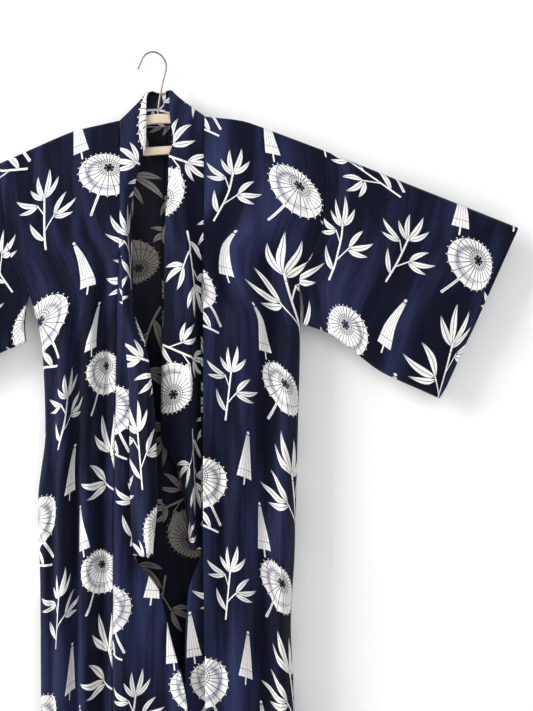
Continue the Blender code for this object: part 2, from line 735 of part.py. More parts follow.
def make_sleeve(side, name, collection):
    """Tube of cloth folded at the top and closed along the bottom."""
    edges = sleeve_edges(side)
    whole = edges[4]
    low_share = SLEEVE_LOW_RADIUS / whole
    downs = [drop / whole for drop in ROWS if drop <= ARMHOLE_DROP]
    downs.append(mix(ARMHOLE_DROP / whole, 1.0, 0.5))
    downs += [1.0 - low_share, 1.0 - low_share * 0.3, 1.0]
    rings = []
    for column in range(SLEEVE_COLUMNS + 1):
        along = column / SLEEVE_COLUMNS
        ring = []
        for outward in (-1.0, 1.0):
            half = []
            for down in downs:
                x, z = sleeve_place(edges, along, down)
                rounding = reach(down * whole)
                if down > 1.0 - low_share:
                    rounding = math.sqrt(max(0.0, 1.0 - (1.0 - (1.0 - down) / low_share) ** 2))
                depth = sleeve_depth(side, along, down, whole) + sleeve_crease(along, down)
                half.append((x, outward * depth * rounding, z))
            ring += half if outward < 0 else list(reversed(half))[1:-1]
        rings.append(ring)
    thing = add_mesh(name, mesh_from_rows(name, rings, closed_across=True), "cloth", collection)
    thicken(thing, WALL)


def bar_ring(x, top, height, depth, top_corner):
    """Section of a wooden bar with rounded corners."""
    ring = []
    for quarter, radius in enumerate((top_corner, top_corner, BAR_CORNER, BAR_CORNER)):
        side_y = (1 if quarter in (0, 3) else -1) * (depth / 2.0 - radius)
        side_z = top - radius if quarter < 2 else top - height + radius
        for step in range(3):
            angle = math.pi / 2.0 * (quarter + step / 2.0)
            ring.append((x, side_y + radius * math.cos(angle), side_z + radius * math.sin(angle)))
    return ring


def upper_height(x):
    """Height of the upper bar's wood, thinner towards its ends."""
    return mix(BAR_HEIGHT, BAR_END_HEIGHT, abs(x - HANGER_X) / BAR_HALF_LENGTH)


def lower_top(x):
    return LOWER_BAR_TOP + (x - HANGER_X) * math.tan(TILT)


def make_bar(name, half_length, top_of, height_of, depth, top_corner, collection):
    """Wooden bar with softened ends."""
    rings = []
    stations = 12
    for step in range(stations + 1):
        share = -1.0 + 2.0 * step / stations
        x = HANGER_X + share * (half_length - 3.0)
        rings.append(bar_ring(x, top_of(x), height_of(x), depth, top_corner))
    ends = []
    for end in (-1, 1):
        x = HANGER_X + end * half_length
        ends.append(bar_ring(x, top_of(x) - 2.0, height_of(x) - 4.0, depth * 0.6, top_corner * 0.6))
    rings = [ends[0]] + rings + [ends[1]]
    mesh = mesh_from_rows(name, rings, closed_across=True)
    builder = bmesh.new()
    builder.from_mesh(mesh)
    edges = [edge for edge in builder.edges if edge.is_boundary]
    bmesh.ops.holes_fill(builder, edges=edges, sides=0)
    bmesh.ops.recalc_face_normals(builder, faces=builder.faces)
    if builder.calc_volume(signed=True) < 0.0:
        bmesh.ops.reverse_faces(builder, faces=builder.faces)
    builder.to_mesh(mesh)
    builder.free()
    mesh.set_sharp_from_angle(angle=math.radians(40.0))
    add_mesh(name, mesh, "wood", collection)


def make_post(end, name, collection):
    """Round post that joins the two bars near an end."""
    x = HANGER_X + end * POST_REACH
    spots = (x - POST_RADIUS, x, x + POST_RADIUS)
    high = min(bar_top(spot) - upper_height(spot) for spot in spots) - WOOD_GAP
    low = max(lower_top(spot) for spot in spots) + WOOD_GAP
    bpy.ops.mesh.primitive_cylinder_add(
        vertices=16,
        radius=POST_RADIUS * MM,
        depth=(high - low) * MM,
        location=metres((x, 0.0, (high + low) / 2.0)),
    )
    post = bpy.context.object
    post.name = name
    post.data.name = name
    for owner in post.users_collection:
        owner.objects.unlink(post)
    collection.objects.link(post)
    post.data.materials.append(material("wood"))
    post.data.shade_smooth()
    post.data.set_sharp_from_angle(angle=math.radians(40.0))


def make_hook(collection):
    """Bent wire that stands on the middle of the upper bar."""
    route = [through(HOOK_ROUTE, step / HOOK_STEPS) for step in range(HOOK_STEPS + 1)]
    curve = bpy.data.curves.new("hanger_hook", "CURVE")
    curve.dimensions = "3D"
    curve.bevel_depth = WIRE_RADIUS * MM
    curve.bevel_resolution = 2
    curve.use_fill_caps = True
    spline = curve.splines.new("POLY")
    spline.points.add(len(route) - 1)
    for point, (x, z) in zip(spline.points, route):
        point.co = (x * MM, 0.0, z * MM, 1.0)
    hook = bpy.data.objects.new("hanger_hook", curve)
    curve.materials.append(material("wire"))
    collection.objects.link(hook)


def main():
    for thing in list(bpy.data.objects):
        bpy.data.objects.remove(thing)
    robe = bpy.data.collections.new("yukata_robe")
    bpy.context.scene.collection.children.link(robe)
    for side, word in ((1, "right"), (-1, "left")):
        make_main_panel(side, "body_" + word, robe)
        make_overlap(side, "okumi_" + word, robe)
        make_sleeve(side, "sleeve_" + word, robe)
    make_collar(robe)
    make_bar("hanger_top_bar", BAR_HALF_LENGTH, bar_top, upper_height, BAR_DEPTH, BAR_TOP_CORNER, robe)
    make_bar("hanger_lower_bar", LOWER_BAR_HALF_LENGTH, lower_top, lambda x: LOWER_BAR_HEIGHT,
             LOWER_BAR_DEPTH, BAR_CORNER, robe)
    make_post(1, "hanger_post_right", robe)
    make_post(-1, "hanger_post_left", robe)
    make_hook(robe)


main()
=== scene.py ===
"""The look of a cotton yukata robe on a wooden hanger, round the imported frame.

The cloth follows the solids' own form at a finer step, with small creases, and it
carries a procedural print of open and closed paper umbrellas and bamboo sprays.
Tables and routes are in millimetres, the print's sizes are in metres.
"""

import bisect
import functools
import math
from collections import namedtuple

import bmesh
import bpy
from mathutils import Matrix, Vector, noise


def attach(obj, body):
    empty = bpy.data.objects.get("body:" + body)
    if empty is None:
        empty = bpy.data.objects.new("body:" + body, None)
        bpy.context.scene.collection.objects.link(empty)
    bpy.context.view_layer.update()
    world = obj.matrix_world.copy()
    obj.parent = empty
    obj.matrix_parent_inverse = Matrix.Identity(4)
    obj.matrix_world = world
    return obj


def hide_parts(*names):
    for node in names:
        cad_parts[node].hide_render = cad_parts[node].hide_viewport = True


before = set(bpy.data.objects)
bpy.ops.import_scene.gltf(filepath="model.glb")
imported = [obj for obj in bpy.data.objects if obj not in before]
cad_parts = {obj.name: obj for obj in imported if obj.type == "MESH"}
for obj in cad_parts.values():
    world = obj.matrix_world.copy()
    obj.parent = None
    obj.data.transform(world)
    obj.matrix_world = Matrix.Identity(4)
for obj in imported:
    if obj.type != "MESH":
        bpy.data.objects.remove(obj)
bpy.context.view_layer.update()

MM = 0.001

# The cloth
SEAM_GAP = 0.06
SHOULDER_RADIUS = 7.6
HEM_DROP = 1380.0
NECK_DROP = 15.0
CENTRE_HEIGHT = -116.6

# Rows and columns of the main panels
ROWS = (0, 6, 12, 30, 60, 95, 130, 165, 200, 232, 265, 300, 336,
        400, 480, 570, 660, 755, 850, 950, 1050, 1210, 1380)
FIRST_CLOSED_ROW = 12
FIRST_NECK_ROW = 2
SIDE_ROUND = 18.0
SIDE_BLEND = 45.0
SIDE_CLOSE_START = 240.0
SIDE_CLOSE_RUN = 96.0
EDGE_TURN_START = 0.55
EDGE_TURN_RUN = 0.45
FOLD_FADE_SIDE = 26.0
FOLD_FADE_INNER = 24.0
ROW_STEPS = 150
ROW_CROWDING = 1.3
GAIN_LOW = 0.5
GAIN_HIGH = 1.9
GAIN_TRIES = 14
NECK_COLUMNS = 4
OVERLAP_ROWS = (242, 265, 300, 336, 400, 480, 570, 660, 755, 790, 820, 880, 950, 1050, 1210, 1380)

# The hanger
HANGER_X = 8.7
BAR_TOP = -106.2
BAR_DEPTH = 12.0
BAR_HEIGHT = 17.0
BAR_END_HEIGHT = 12.5
BAR_HALF_LENGTH = 135.0
LOWER_BAR_HEIGHT = 14.0
LOWER_BAR_DEPTH = 10.0
LOWER_BAR_TOP = -163.5
LOWER_BAR_HALF_LENGTH = 126.0
TILT = math.radians(3.6)
ARM_SLOPE = math.radians(9.3)
BAR_CORNER = 1.5
POST_RADIUS = 4.5
POST_REACH = 118.0
WIRE_RADIUS = 1.7
WOOD_GAP = 0.3
CLOTH_LIFT = 1.25
BOW_ROUND = 14.0
BAR_END_ROUND = 3.0
BAR_END_SIZE = 0.62
SHARP_ANGLE = math.radians(50.0)

# Free slope of each shoulder past the hanger's end
FREE_SLOPE = {1: math.radians(20.6), -1: math.radians(24.0)}
SLOPE_BLEND = 8.0
SLOPE_START = 14.0

# One row for each height of a main panel, by its drop below the shoulder's ridge:
# the side edge, half the opening there, the front's and the back's depth, the front
# edge, and the widths of cloth that the front and the back use up.
Height = namedtuple("Height", "drop side_x side_gap front_y back_y edge_x edge_y front_cut back_cut")
RIGHT = (
    Height(0, 297.5, 7.6, -7.6, 7.6, 90.5, -7.6, 207, 278),
    Height(55, 301.0, 10.0, -11.0, 11.0, 89.0, -12.0, 212, 279),
    Height(120, 297.5, 11.0, -12.0, 12.0, 88.8, -15.0, 213, 280),
    Height(185, 276.0, 9.0, -14.0, 13.0, 88.6, -19.0, 213, 280),
    Height(230, 254.5, 6.0, -16.0, 14.0, 88.6, -23.0, 213, 280),
    Height(290, 256.0, 4.0, -18.0, 15.0, 88.6, -27.0, 213, 280),
    Height(336, 255.5, 0.0, -20.0, 16.0, 88.6, -30.0, 213, 280),
    Height(515, 251.0, 0.0, -25.0, 17.0, 88.6, -36.0, 213, 280),
    Height(705, 246.0, 0.0, -29.0, 18.0, 88.8, -41.0, 213, 280),
    Height(830, 239.5, 0.0, -31.0, 18.0, 90.0, -43.0, 213, 280),
    Height(950, 245.0, 0.0, -32.0, 18.0, 92.0, -44.0, 213, 280),
    Height(1380, 252.0, 0.0, -34.0, 18.0, 98.0, -46.0, 213, 280),
)
LEFT = (
    Height(0, -262.0, 7.6, -7.6, 7.6, -57.0, -7.6, 207, 280),
    Height(55, -261.0, 10.0, -11.0, 11.0, -56.0, -12.0, 207, 280),
    Height(127, -253.0, 11.0, -13.0, 12.0, -55.6, -19.0, 209, 280),
    Height(180, -243.0, 9.0, -15.0, 13.0, -55.0, -25.0, 209, 280),
    Height(230, -217.0, 6.0, -17.0, 14.0, -56.0, -28.0, 209, 280),
    Height(283, -200.0, 4.0, -19.0, 15.0, -58.5, -28.0, 209, 280),
    Height(336, -191.5, 0.0, -21.0, 16.0, -60.0, -28.0, 209, 280),
    Height(476, -186.5, 0.0, -26.0, 17.0, -62.0, -30.0, 209, 280),
    Height(596, -199.0, 0.0, -29.0, 18.0, -64.0, -32.0, 209, 280),
    Height(762, -195.0, 0.0, -31.0, 18.0, -66.0, -34.0, 209, 280),
    Height(1025, -194.0, 0.0, -33.0, 18.0, -67.0, -36.0, 209, 280),
    Height(1380, -200.0, 0.0, -35.0, 18.0, -64.0, -38.0, 209, 280),
)
HEIGHTS = {1: RIGHT, -1: LEFT}

# The centre back seam leans a little
Centre = namedtuple("Centre", "drop x")
CENTRE_SEAM = (Centre(0, 25.5), Centre(110, 21.0), Centre(250, 14.5), Centre(1380, 16.0))

# Over how much height a fold moves across, rises and fades
FOLD_SHIFT_RUN = 500.0
FOLD_START_RUN = 180.0
FOLD_END_RUN = 120.0

# Soft folds that run down a panel: where each starts and ends across, how wide it is
# to either side, how far it stands out (below zero: a trough), and its two heights.
Fold = namedtuple("Fold", "top_x low_x half_width depth start end")
FRONT_FOLDS = {
    1: (
        Fold(156, 204, 24, 4, 30, 290),
        Fold(128, 120, 22, -4, 150, 1500),
        Fold(160, 150, 30, 9, 200, 1500),
        Fold(214, 196, 26, -9, 180, 1500),
        Fold(244, 226, 26, 9, 240, 1500),
    ),
    -1: (
        Fold(-110, -150, 26, 4, 30, 330),
        Fold(-178, -172, 16, -5, 260, 1500),
        Fold(-150, -152, 22, 9, 220, 1500),
        Fold(-130, -133, 18, -6, 240, 1500),
        Fold(-106, -112, 22, 9, 230, 1500),
        Fold(-82, -86, 22, -9, 180, 1500),
    ),
}
BACK_FOLDS = {
    1: (
        Fold(64, 58, 26, 5, 200, 1500),
        Fold(106, 102, 24, 4, 200, 1500),
        Fold(150, 142, 28, 8, 220, 1500),
        Fold(198, 182, 24, -7, 190, 1500),
        Fold(238, 220, 26, 7, 260, 1500),
    ),
    -1: (
        Fold(-22, -18, 26, 5, 240, 1500),
        Fold(-64, -58, 24, -7, 180, 1500),
        Fold(-104, -96, 26, 8, 210, 1500),
        Fold(-148, -134, 24, -7, 200, 1500),
        Fold(-186, -168, 24, 8, 260, 1500),
    ),
}

# The overlap panels seen from above: a first turn, a second turn and the free edge
Overlap = namedtuple("Overlap", "drop first_x first_y second_x second_y edge_x edge_y")
OVERLAP_RIGHT = (
    Overlap(236, 89.6, -19.6, 88.6, -17.8, 85.6, -17.4),
    Overlap(300, 91.5, -17.5, 90.5, -13.5, 84.5, -13.0),
    Overlap(400, 95.0, -17.0, 94.0, -10.0, 84.0, -11.0),
    Overlap(570, 104.0, -18.0, 103.0, -8.0, 84.0, -10.0),
    Overlap(755, 110.0, -18.0, 109.0, -6.0, 84.0, -10.0),
    Overlap(830, 108.0, -18.0, 104.0, -6.0, 62.0, -11.0),
    Overlap(950, 106.0, -19.0, 100.0, -6.0, 56.0, -13.0),
    Overlap(1380, 106.0, -19.0, 100.0, -6.0, 62.0, -14.0),
)
OVERLAP_LEFT = (
    Overlap(236, -54.0, -29.0, -52.8, -30.5, -51.0, -32.0),
    Overlap(340, -57.0, -31.0, -53.0, -35.0, -48.5, -37.0),
    Overlap(484, -57.0, -36.0, -48.0, -40.0, -38.0, -40.0),
    Overlap(623, -57.0, -40.0, -47.0, -42.0, -37.0, -39.0),
    Overlap(755, -58.0, -45.0, -46.0, -46.0, -31.0, -37.0),
    Overlap(790, -56.0, -47.0, -36.0, -42.0, -6.0, -30.0),
    Overlap(820, -54.0, -48.0, -24.0, -36.0, 14.0, -28.0),
    Overlap(890, -52.0, -50.0, -12.0, -30.0, 31.0, -31.0),
    Overlap(1025, -48.0, -52.0, 2.0, -27.0, 62.0, -36.0),
    Overlap(1380, -44.0, -54.0, 6.0, -26.0, 74.0, -42.0),
)
OVERLAPS = {1: OVERLAP_RIGHT, -1: OVERLAP_LEFT}
OVERLAP_START = 236.0
OVERLAP_STEPS = 60
# The right one is folded back behind its main panel, the left one carries on from it
Shift = namedtuple("Shift", "x y")
OVERLAP_START_SHIFT = {1: Shift(0.6, 2.1), -1: Shift(0.8, 0.0)}

# The collar, by its seam's drop below the ridge; below zero it runs on round the back of
# the neck to the centre at CENTRE_KEY. A point half way, the fold, how far the fold
# stands above the seam, and the free edge of the inner half, which opens out low down.
Band = namedtuple("Band", "drop mid_x mid_y fold_x fold_y rise free_x free_y")
CENTRE_KEY = -60.0
BAND_RIGHT = (
    Band(-60, 20.0, 12.5, 14.0, 14.5, 57.0, 14.0, 9.5),
    Band(-45, 32.0, 12.0, 21.0, 14.0, 58.0, 20.5, 9.0),
    Band(-30, 43.0, 11.0, 27.0, 12.5, 58.0, 25.5, 8.0),
    Band(-15, 54.0, 9.5, 31.0, 10.5, 56.0, 28.0, 6.5),
    Band(0, 62.0, 2.0, 33.0, 4.0, 36.0, 28.5, 2.0),
    Band(22, 60.0, -10.5, 34.0, -13.0, 18.0, 30.0, -11.0),
    Band(50, 62.0, -15.0, 41.0, -15.5, 4.0, 37.0, -13.0),
    Band(75, 64.0, -17.0, 44.4, -18.5, 0.0, 28.5, -12.0),
    Band(110, 66.0, -19.0, 49.5, -23.0, 0.0, 27.8, -9.0),
    Band(160, 72.0, -20.0, 57.4, -30.0, 0.0, 24.5, -9.0),
    Band(215, 77.0, -20.0, 62.6, -36.0, 0.0, 21.5, -10.0),
    Band(345, 78.0, -16.0, 68.0, -43.0, 0.0, 20.0, -14.0),
    Band(470, 77.0, -13.0, 67.5, -45.0, 0.0, 15.5, -16.0),
    Band(560, 76.5, -12.0, 67.5, -44.0, 0.0, 15.0, -12.0),
    Band(615, 76.5, -11.0, 68.0, -42.0, 0.0, 44.0, -6.0),
    Band(690, 76.5, -10.0, 70.0, -38.0, 0.0, 58.0, -6.0),
    Band(755, 78.0, -10.0, 73.0, -32.0, 0.0, 64.0, -6.0),
)
BAND_LEFT = (
    Band(-60, 20.0, 12.5, 14.0, 14.5, 57.0, 14.0, 9.5),
    Band(-45, 5.0, 12.0, 6.0, 14.0, 58.0, 6.5, 9.0),
    Band(-30, -8.0, 11.0, -3.0, 12.5, 61.0, -1.5, 8.0),
    Band(-15, -24.0, 9.5, -10.0, 10.5, 59.0, -7.0, 6.5),
    Band(0, -36.0, 2.0, -16.0, 4.0, 38.0, -11.5, 2.0),
    Band(22, -36.0, -10.5, -15.0, -13.0, 20.0, -11.0, -11.0),
    Band(50, -36.0, -15.5, -15.8, -16.0, 5.0, -11.5, -13.5),
    Band(88, -42.0, -18.0, -26.0, -12.0, 0.0, -24.5, -9.0),
    Band(127, -46.0, -22.0, -37.0, -3.0, 0.0, -34.5, 1.5),
    Band(165, -46.5, -27.0, -41.5, 2.0, 0.0, -40.5, 5.5),
    Band(240, -43.0, -31.0, -38.0, 2.0, 0.0, -37.0, 5.5),
    Band(330, -40.0, -37.0, -35.5, -6.0, 0.0, -34.5, -2.5),
    Band(390, -30.0, -46.0, -16.0, -36.0, 0.0, -12.0, -33.0),
    Band(440, -25.0, -52.0, -6.0, -58.0, 0.0, -1.0, -54.0),
    Band(560, -22.0, -53.0, -3.0, -72.0, 0.0, 9.0, -55.0),
    Band(660, -21.0, -54.0, -2.6, -74.0, 0.0, 11.0, -54.0),
    Band(755, -17.0, -52.0, -2.6, -72.0, 0.0, 4.0, -62.0),
)
BANDS = {1: BAND_RIGHT, -1: BAND_LEFT}
NECK_SEAM_GAP = 0.8
LOW_SEAM_GAP = 0.8
NECK_SEAM_DEPTH = 0.4
SEAM_CLOSE_START = 30.0
SEAM_CLOSE_RUN = 60.0
SEAM_OPEN_START = 330.0
SEAM_OPEN_RUN = 100.0
BAND_MIDDLE_RISE = 0.52

# The sleeves seen from the front: each edge has a few points across and down
Spot = namedtuple("Spot", "x z")
SleeveOutline = namedtuple("SleeveOutline", "cuff_top cuff_middle cuff_low corner bottom inner_low")
SLEEVES = {
    1: SleeveOutline(
        cuff_top=Spot(635.0, -304.5),
        cuff_middle=Spot(592.0, -400.0),
        cuff_low=Spot(549.0, -496.0),
        corner=Spot(501.0, -602.0),
        bottom=(Spot(470.0, -588.0), Spot(398.0, -555.0), Spot(352.0, -521.0), Spot(306.0, -488.0)),
        inner_low=Spot(260.0, -471.5),
    ),
    -1: SleeveOutline(
        cuff_top=Spot(-591.0, -341.0),
        cuff_middle=Spot(-553.0, -433.0),
        cuff_low=Spot(-514.0, -526.0),
        corner=Spot(-465.0, -636.0),
        bottom=(Spot(-436.0, -622.0), Spot(-380.0, -588.0), Spot(-322.0, -548.0), Spot(-266.0, -522.0)),
        inner_low=Spot(-221.0, -503.0),
    ),
}
ARMHOLE_DROP = 232.0
CUFF_OPEN_SHARE = 0.62
CUFF_HALF_SLIT = 0.8
CUFF_CLOSE_RUN = 0.06
CUFF_START = 0.82
CUFF_RUN = 0.18
SLEEVE_FREE_GAP = 5.0
SLEEVE_LOW_RADIUS = 4.0
SLEEVE_DEPTH = 9.0
SLEEVE_BULGE = 7.0
SLEEVE_BULGE_SHIFT = 1.2
SLEEVE_SEAM_RUN = 0.3
FURI_BOW = 4.0

# Creases of the sleeves: how far along at the top and at the bottom edge, how wide,
# how far they stand out.
Crease = namedtuple("Crease", "top_share low_share half_width depth")
SLEEVE_CREASES = (
    Crease(0.30, 0.10, 0.10, -4.0),
    Crease(0.46, 0.24, 0.10, 5.0),
    Crease(0.60, 0.42, 0.10, -4.0),
    Crease(0.74, 0.62, 0.12, 4.0),
)

# Hook: the middle of its wire, from the tip over the bend to the upper bar
HOOK_ROUTE = (
    Spot(-26.5, -29.0), Spot(-21.8, -17.5), Spot(-16.4, -6.8), Spot(-9.2, -0.4), Spot(0.0, 1.7),
    Spot(9.8, -1.0), Spot(18.6, -9.6), Spot(22.9, -22.5), Spot(20.9, -36.0), Spot(16.4, -53.0),
    Spot(13.2, -70.0), Spot(10.2, -89.0), Spot(HANGER_X, BAR_TOP + WOOD_GAP),
)

# The finer cloth: its walls, its rows and columns, and the flat sizes it was cut to
FINE_WALL = 0.8
FINE_COLLAR_WALL = 2.0
HALF_LOOM = 280.0
SLEEVE_WIDTH = 0.345
SLEEVE_DROP = 0.32
FINE_TOP_CORNER = 4.2
CLOSED_DROP = ROWS[FIRST_CLOSED_ROW]
TOP_DROP = ROWS[FIRST_NECK_ROW]
FINE_PANEL_COLUMNS = 64
FINE_NECK_COLUMNS = 18
FINE_OVERLAP_COLUMNS = 28
FINE_SLEEVE_COLUMNS = 64
COLLAR_OUTER_COLUMNS = 14
COLLAR_INNER_COLUMNS = 8
COLLAR_CURVE_STEPS = 30
SIDE_FADE = 0.06
INNER_FADE = 0.07
NECK_FADE = 0.3
FRONT_BEFORE = -2.0

# Where the smaller pieces lie on the flat print, the collar's place in metres
OVERLAP_FLAT_X = 70.0
OVERLAP_FLAT_DROP = 130.0
COLLAR_FLAT_X = 0.31

# Creases: two ends seen from the front, half the width and how far
# it stands out (below zero: a trough), and the faces that have it.
Wrinkle = namedtuple("Wrinkle", "x0 z0 x1 z1 half_width depth face")
WRINKLES = (
    Wrinkle(292, -200, 262, -330, 9, -3.0, "both"),
    Wrinkle(280, -190, 236, -300, 8, 2.5, "both"),
    Wrinkle(300, -250, 262, -395, 7, 2.6, "both"),
    Wrinkle(262, -395, 330, -330, 9, -3.4, "both"),
    Wrinkle(264, -410, 352, -372, 8, 3.0, "both"),
    Wrinkle(266, -430, 372, -430, 9, -3.0, "both"),
    Wrinkle(262, -400, 300, -300, 7, 2.2, "front"),
    Wrinkle(300, -470, 352, -400, 8, 3.0, "both"),
    Wrinkle(330, -478, 385, -400, 8, -2.6, "both"),
    Wrinkle(372, -520, 420, -380, 10, 2.8, "front"),
    Wrinkle(430, -545, 470, -330, 12, 2.2, "both"),
    Wrinkle(500, -560, 540, -330, 13, -2.0, "both"),
    Wrinkle(252, -410, 206, -470, 8, -3.0, "both"),
    Wrinkle(250, -425, 192, -540, 9, 2.6, "front"),
    Wrinkle(240, -600, 205, -760, 9, 2.4, "front"),
    Wrinkle(232, -820, 196, -900, 8, -2.2, "both"),
    Wrinkle(120, -430, 140, -640, 8, 2.2, "front"),
    Wrinkle(176, -540, 160, -760, 7, -2.2, "front"),
    Wrinkle(104, -700, 130, -940, 8, 2.0, "front"),
    Wrinkle(118, -150, 128, -260, 10, 1.6, "front"),
    Wrinkle(210, -160, 232, -290, 12, 1.8, "both"),
    Wrinkle(-206, -200, -218, -330, 10, -2.4, "both"),
    Wrinkle(-180, -190, -206, -330, 9, 2.0, "front"),
    Wrinkle(-228, -300, -206, -430, 8, 3.0, "both"),
    Wrinkle(-240, -380, -318, -330, 9, -3.0, "both"),
    Wrinkle(-236, -410, -330, -420, 9, 3.0, "both"),
    Wrinkle(-232, -440, -330, -490, 8, -2.6, "both"),
    Wrinkle(-205, -430, -160, -500, 8, -3.0, "both"),
    Wrinkle(-196, -470, -150, -620, 8, 2.6, "front"),
    Wrinkle(-186, -560, -140, -640, 8, -2.2, "both"),
    Wrinkle(-178, -700, -150, -900, 8, 2.2, "front"),
    Wrinkle(-100, -240, -112, -420, 9, 2.2, "front"),
    Wrinkle(-80, -480, -108, -720, 8, -2.2, "front"),
    Wrinkle(-120, -760, -92, -1000, 8, 2.0, "front"),
    Wrinkle(-30, -900, 10, -1130, 9, 2.0, "front"),
    Wrinkle(-420, -420, -460, -560, 12, 2.2, "both"),
    Wrinkle(-500, -400, -520, -500, 12, -2.0, "both"),
    Wrinkle(40, -200, 60, -520, 10, 1.8, "back"),
    Wrinkle(120, -260, 150, -640, 11, 2.4, "back"),
    Wrinkle(206, -300, 180, -620, 10, -2.4, "back"),
    Wrinkle(-40, -230, -60, -560, 10, -2.0, "back"),
    Wrinkle(-120, -260, -96, -700, 11, 2.4, "back"),
    Wrinkle(-170, -420, -140, -800, 9, -2.2, "back"),
    Wrinkle(90, -760, 70, -1240, 11, 2.2, "back"),
    Wrinkle(-70, -800, -96, -1260, 11, 2.2, "back"),
)
WRINKLE_SWAY = 5.0

# Faint ripples all over: how far they stand out, their sizes across and down, and the
# slice of the noise that they are taken from
Ripple = namedtuple("Ripple", "lift across down layer")
RIPPLES = (Ripple(1.9, 26.0, 130.0, 0.3), Ripple(0.5, 10.0, 34.0, 4.7))
BACK_SHIFT = 300.0
RIDGE_FADE = 40.0

# Colours, as linear values
NAVY = (0.0030, 0.0040, 0.0130, 1.0)
# Paler navy for wear, and also painted sheen where the cloth's folds catch the light
NAVY_WORN_AND_SHEEN = (0.024, 0.031, 0.090, 1.0)
PRINT_WHITE = (0.84, 0.83, 0.81, 1.0)
PRINT_SMUDGE = (0.13, 0.14, 0.24, 1.0)
INSIDE_NAVY = (0.0045, 0.0052, 0.011, 1.0)
# The inside's paler navy and print: the face's colours darkened as painted shade
INSIDE_WORN_SHEEN_PAINTED_SHADE = (0.012, 0.012, 0.018, 1.0)
INSIDE_PRINT_PAINTED_SHADE = (0.20, 0.185, 0.165, 1.0)
WOOD_PALE = (0.66, 0.56, 0.43, 1.0)
WOOD_GRAIN = (0.48, 0.37, 0.26, 1.0)
WIRE_COLOUR = (0.36, 0.31, 0.26, 1.0)
WIRE_BROWN = (0.16, 0.12, 0.09, 1.0)
WALL_WHITE = (0.90, 0.90, 0.90, 1.0)
FLOOR_PALE = (0.82, 0.81, 0.79, 1.0)

# The print repeats over a tile of the flat cloth
TILE_WIDE = 0.330
TILE_TALL = 0.342
EDGE_SOFT = 0.00022

# Open umbrellas: place, which way the stick points, radius, how far it is foreshortened,
# how far the hub sits off the middle, and where its smudge is turned to
Umbrella = namedtuple("Umbrella", "x y turn radius squash hub smudge")
UMBRELLAS = (
    Umbrella(0.062, 0.045, -62.0, 0.0510, 0.82, 0.30, 40.0),
    Umbrella(0.228, 0.247, -118.0, 0.0495, 0.72, 0.36, -50.0),
)

# Fine parts of an open umbrella: places are shares of its radius, sizes are in metres
RIBS = 26.0
RIB_HALF = 0.00062
RIM_SCALLOP = 0.05
RING_PLACES = (0.30, 0.38, 0.86)
RING_HALF = 0.0005
PETALS = 6.0
PETAL_PLACE = 0.15
PETAL_HALF = 0.0012
PETAL_SWELL = 0.0016
CAP_RADIUS = 0.0012
BEAD_PLACE = 1.035
BEAD_RADIUS = 0.0011
STICK_LENGTH = 0.036
STICK_HALF = 0.0022
STICK_GROOVE = 0.00028
SMUDGE_PLACE = 0.66
SMUDGE_NARROW = 7.0
SMUDGE_TURN = 1.2
SMUDGE_ALL_ROUND = 0.25

# Closed umbrellas: the cap's place, which way it points, its length and half width
Furled = namedtuple("Furled", "x y turn length half")
FURLED = (
    Furled(0.152, 0.140, -95.0, 0.074, 0.0140),
    Furled(0.178, 0.026, -82.0, 0.072, 0.0135),
)

# Fine parts of a closed umbrella: its width at the cap and its band's place are shares
FURLED_TOP = 0.22
FURLED_LEAST_HALF = 0.0005
FURLED_LINES = 2.5
FURLED_LINE_HALF = 0.00022
FURLED_BAND = 0.82
FURLED_BAND_HALF = 0.0004
FURLED_STICK_START = 0.001
FURLED_STICK_END = 0.012
FURLED_STICK_HALF = 0.0013
KNOB_RADIUS = 0.0026
KNOB_AWAY = 0.0042

# Bamboo sprays: place, direction, 1 or -1 for its hand, and size; twigs and leaves are
# placed along and across the spray's own direction
Spray = namedtuple("Spray", "x y turn hand size")
Twig = namedtuple("Twig", "along across turn length half")
Leaf = namedtuple("Leaf", "along across turn length half bend")
SPRAYS = (
    Spray(0.284, -0.014, 104.0, 1.0, 1.28),
    Spray(0.014, 0.116, 98.0, -1.0, 0.98),
    Spray(0.094, 0.306, 160.0, 1.0, 0.92),
    Spray(0.108, 0.158, 82.0, -1.0, 0.86),
)
TWIGS = (
    Twig(0.0, 0.0, 0.0, 0.100, 0.0019),
    Twig(0.034, 0.0, 36.0, 0.034, 0.0011),
    Twig(0.066, 0.0, -32.0, 0.026, 0.0011),
)
LEAVES = (
    Leaf(0.100, 0.000, 8.0, 0.056, 0.0050, 0.004),
    Leaf(0.099, 0.000, -17.0, 0.050, 0.0047, -0.004),
    Leaf(0.098, 0.001, 35.0, 0.047, 0.0046, 0.004),
    Leaf(0.096, -0.001, -46.0, 0.040, 0.0042, -0.003),
    Leaf(0.062, 0.020, 64.0, 0.050, 0.0048, 0.005),
    Leaf(0.061, 0.019, 33.0, 0.047, 0.0046, -0.003),
    Leaf(0.058, 0.018, 92.0, 0.041, 0.0043, 0.003),
    Leaf(0.089, -0.014, -64.0, 0.048, 0.0047, -0.005),
    Leaf(0.086, -0.012, -96.0, 0.040, 0.0043, -0.003),
    Leaf(0.016, 0.000, -34.0, 0.052, 0.0048, -0.004),
)
JOINT_STEP = 0.026
JOINT_GAP = 0.0004
SPRAY_MIDDLE = 0.075
LEAF_SHARE_LIMIT = 1.3
LEAF_FULL = 5.6
LEAF_TAPER = -3.2
MIDRIB_HALF = 0.00042

# The print's uneven outline as a scale per metre and a depth in metres, then scales per
# metre of the threads and of the clouds and streaks of paler navy, which are wear and painted sheen
WOBBLE_SCALE = 260.0
WOBBLE = 0.0009
WARP = (2600.0, 150.0, 1.0)
WEFT = (150.0, 2600.0, 1.0)
CLOUDS = (17.0, 2.6, 1.0)
STREAKS = (210.0, 7.0, 1.0)

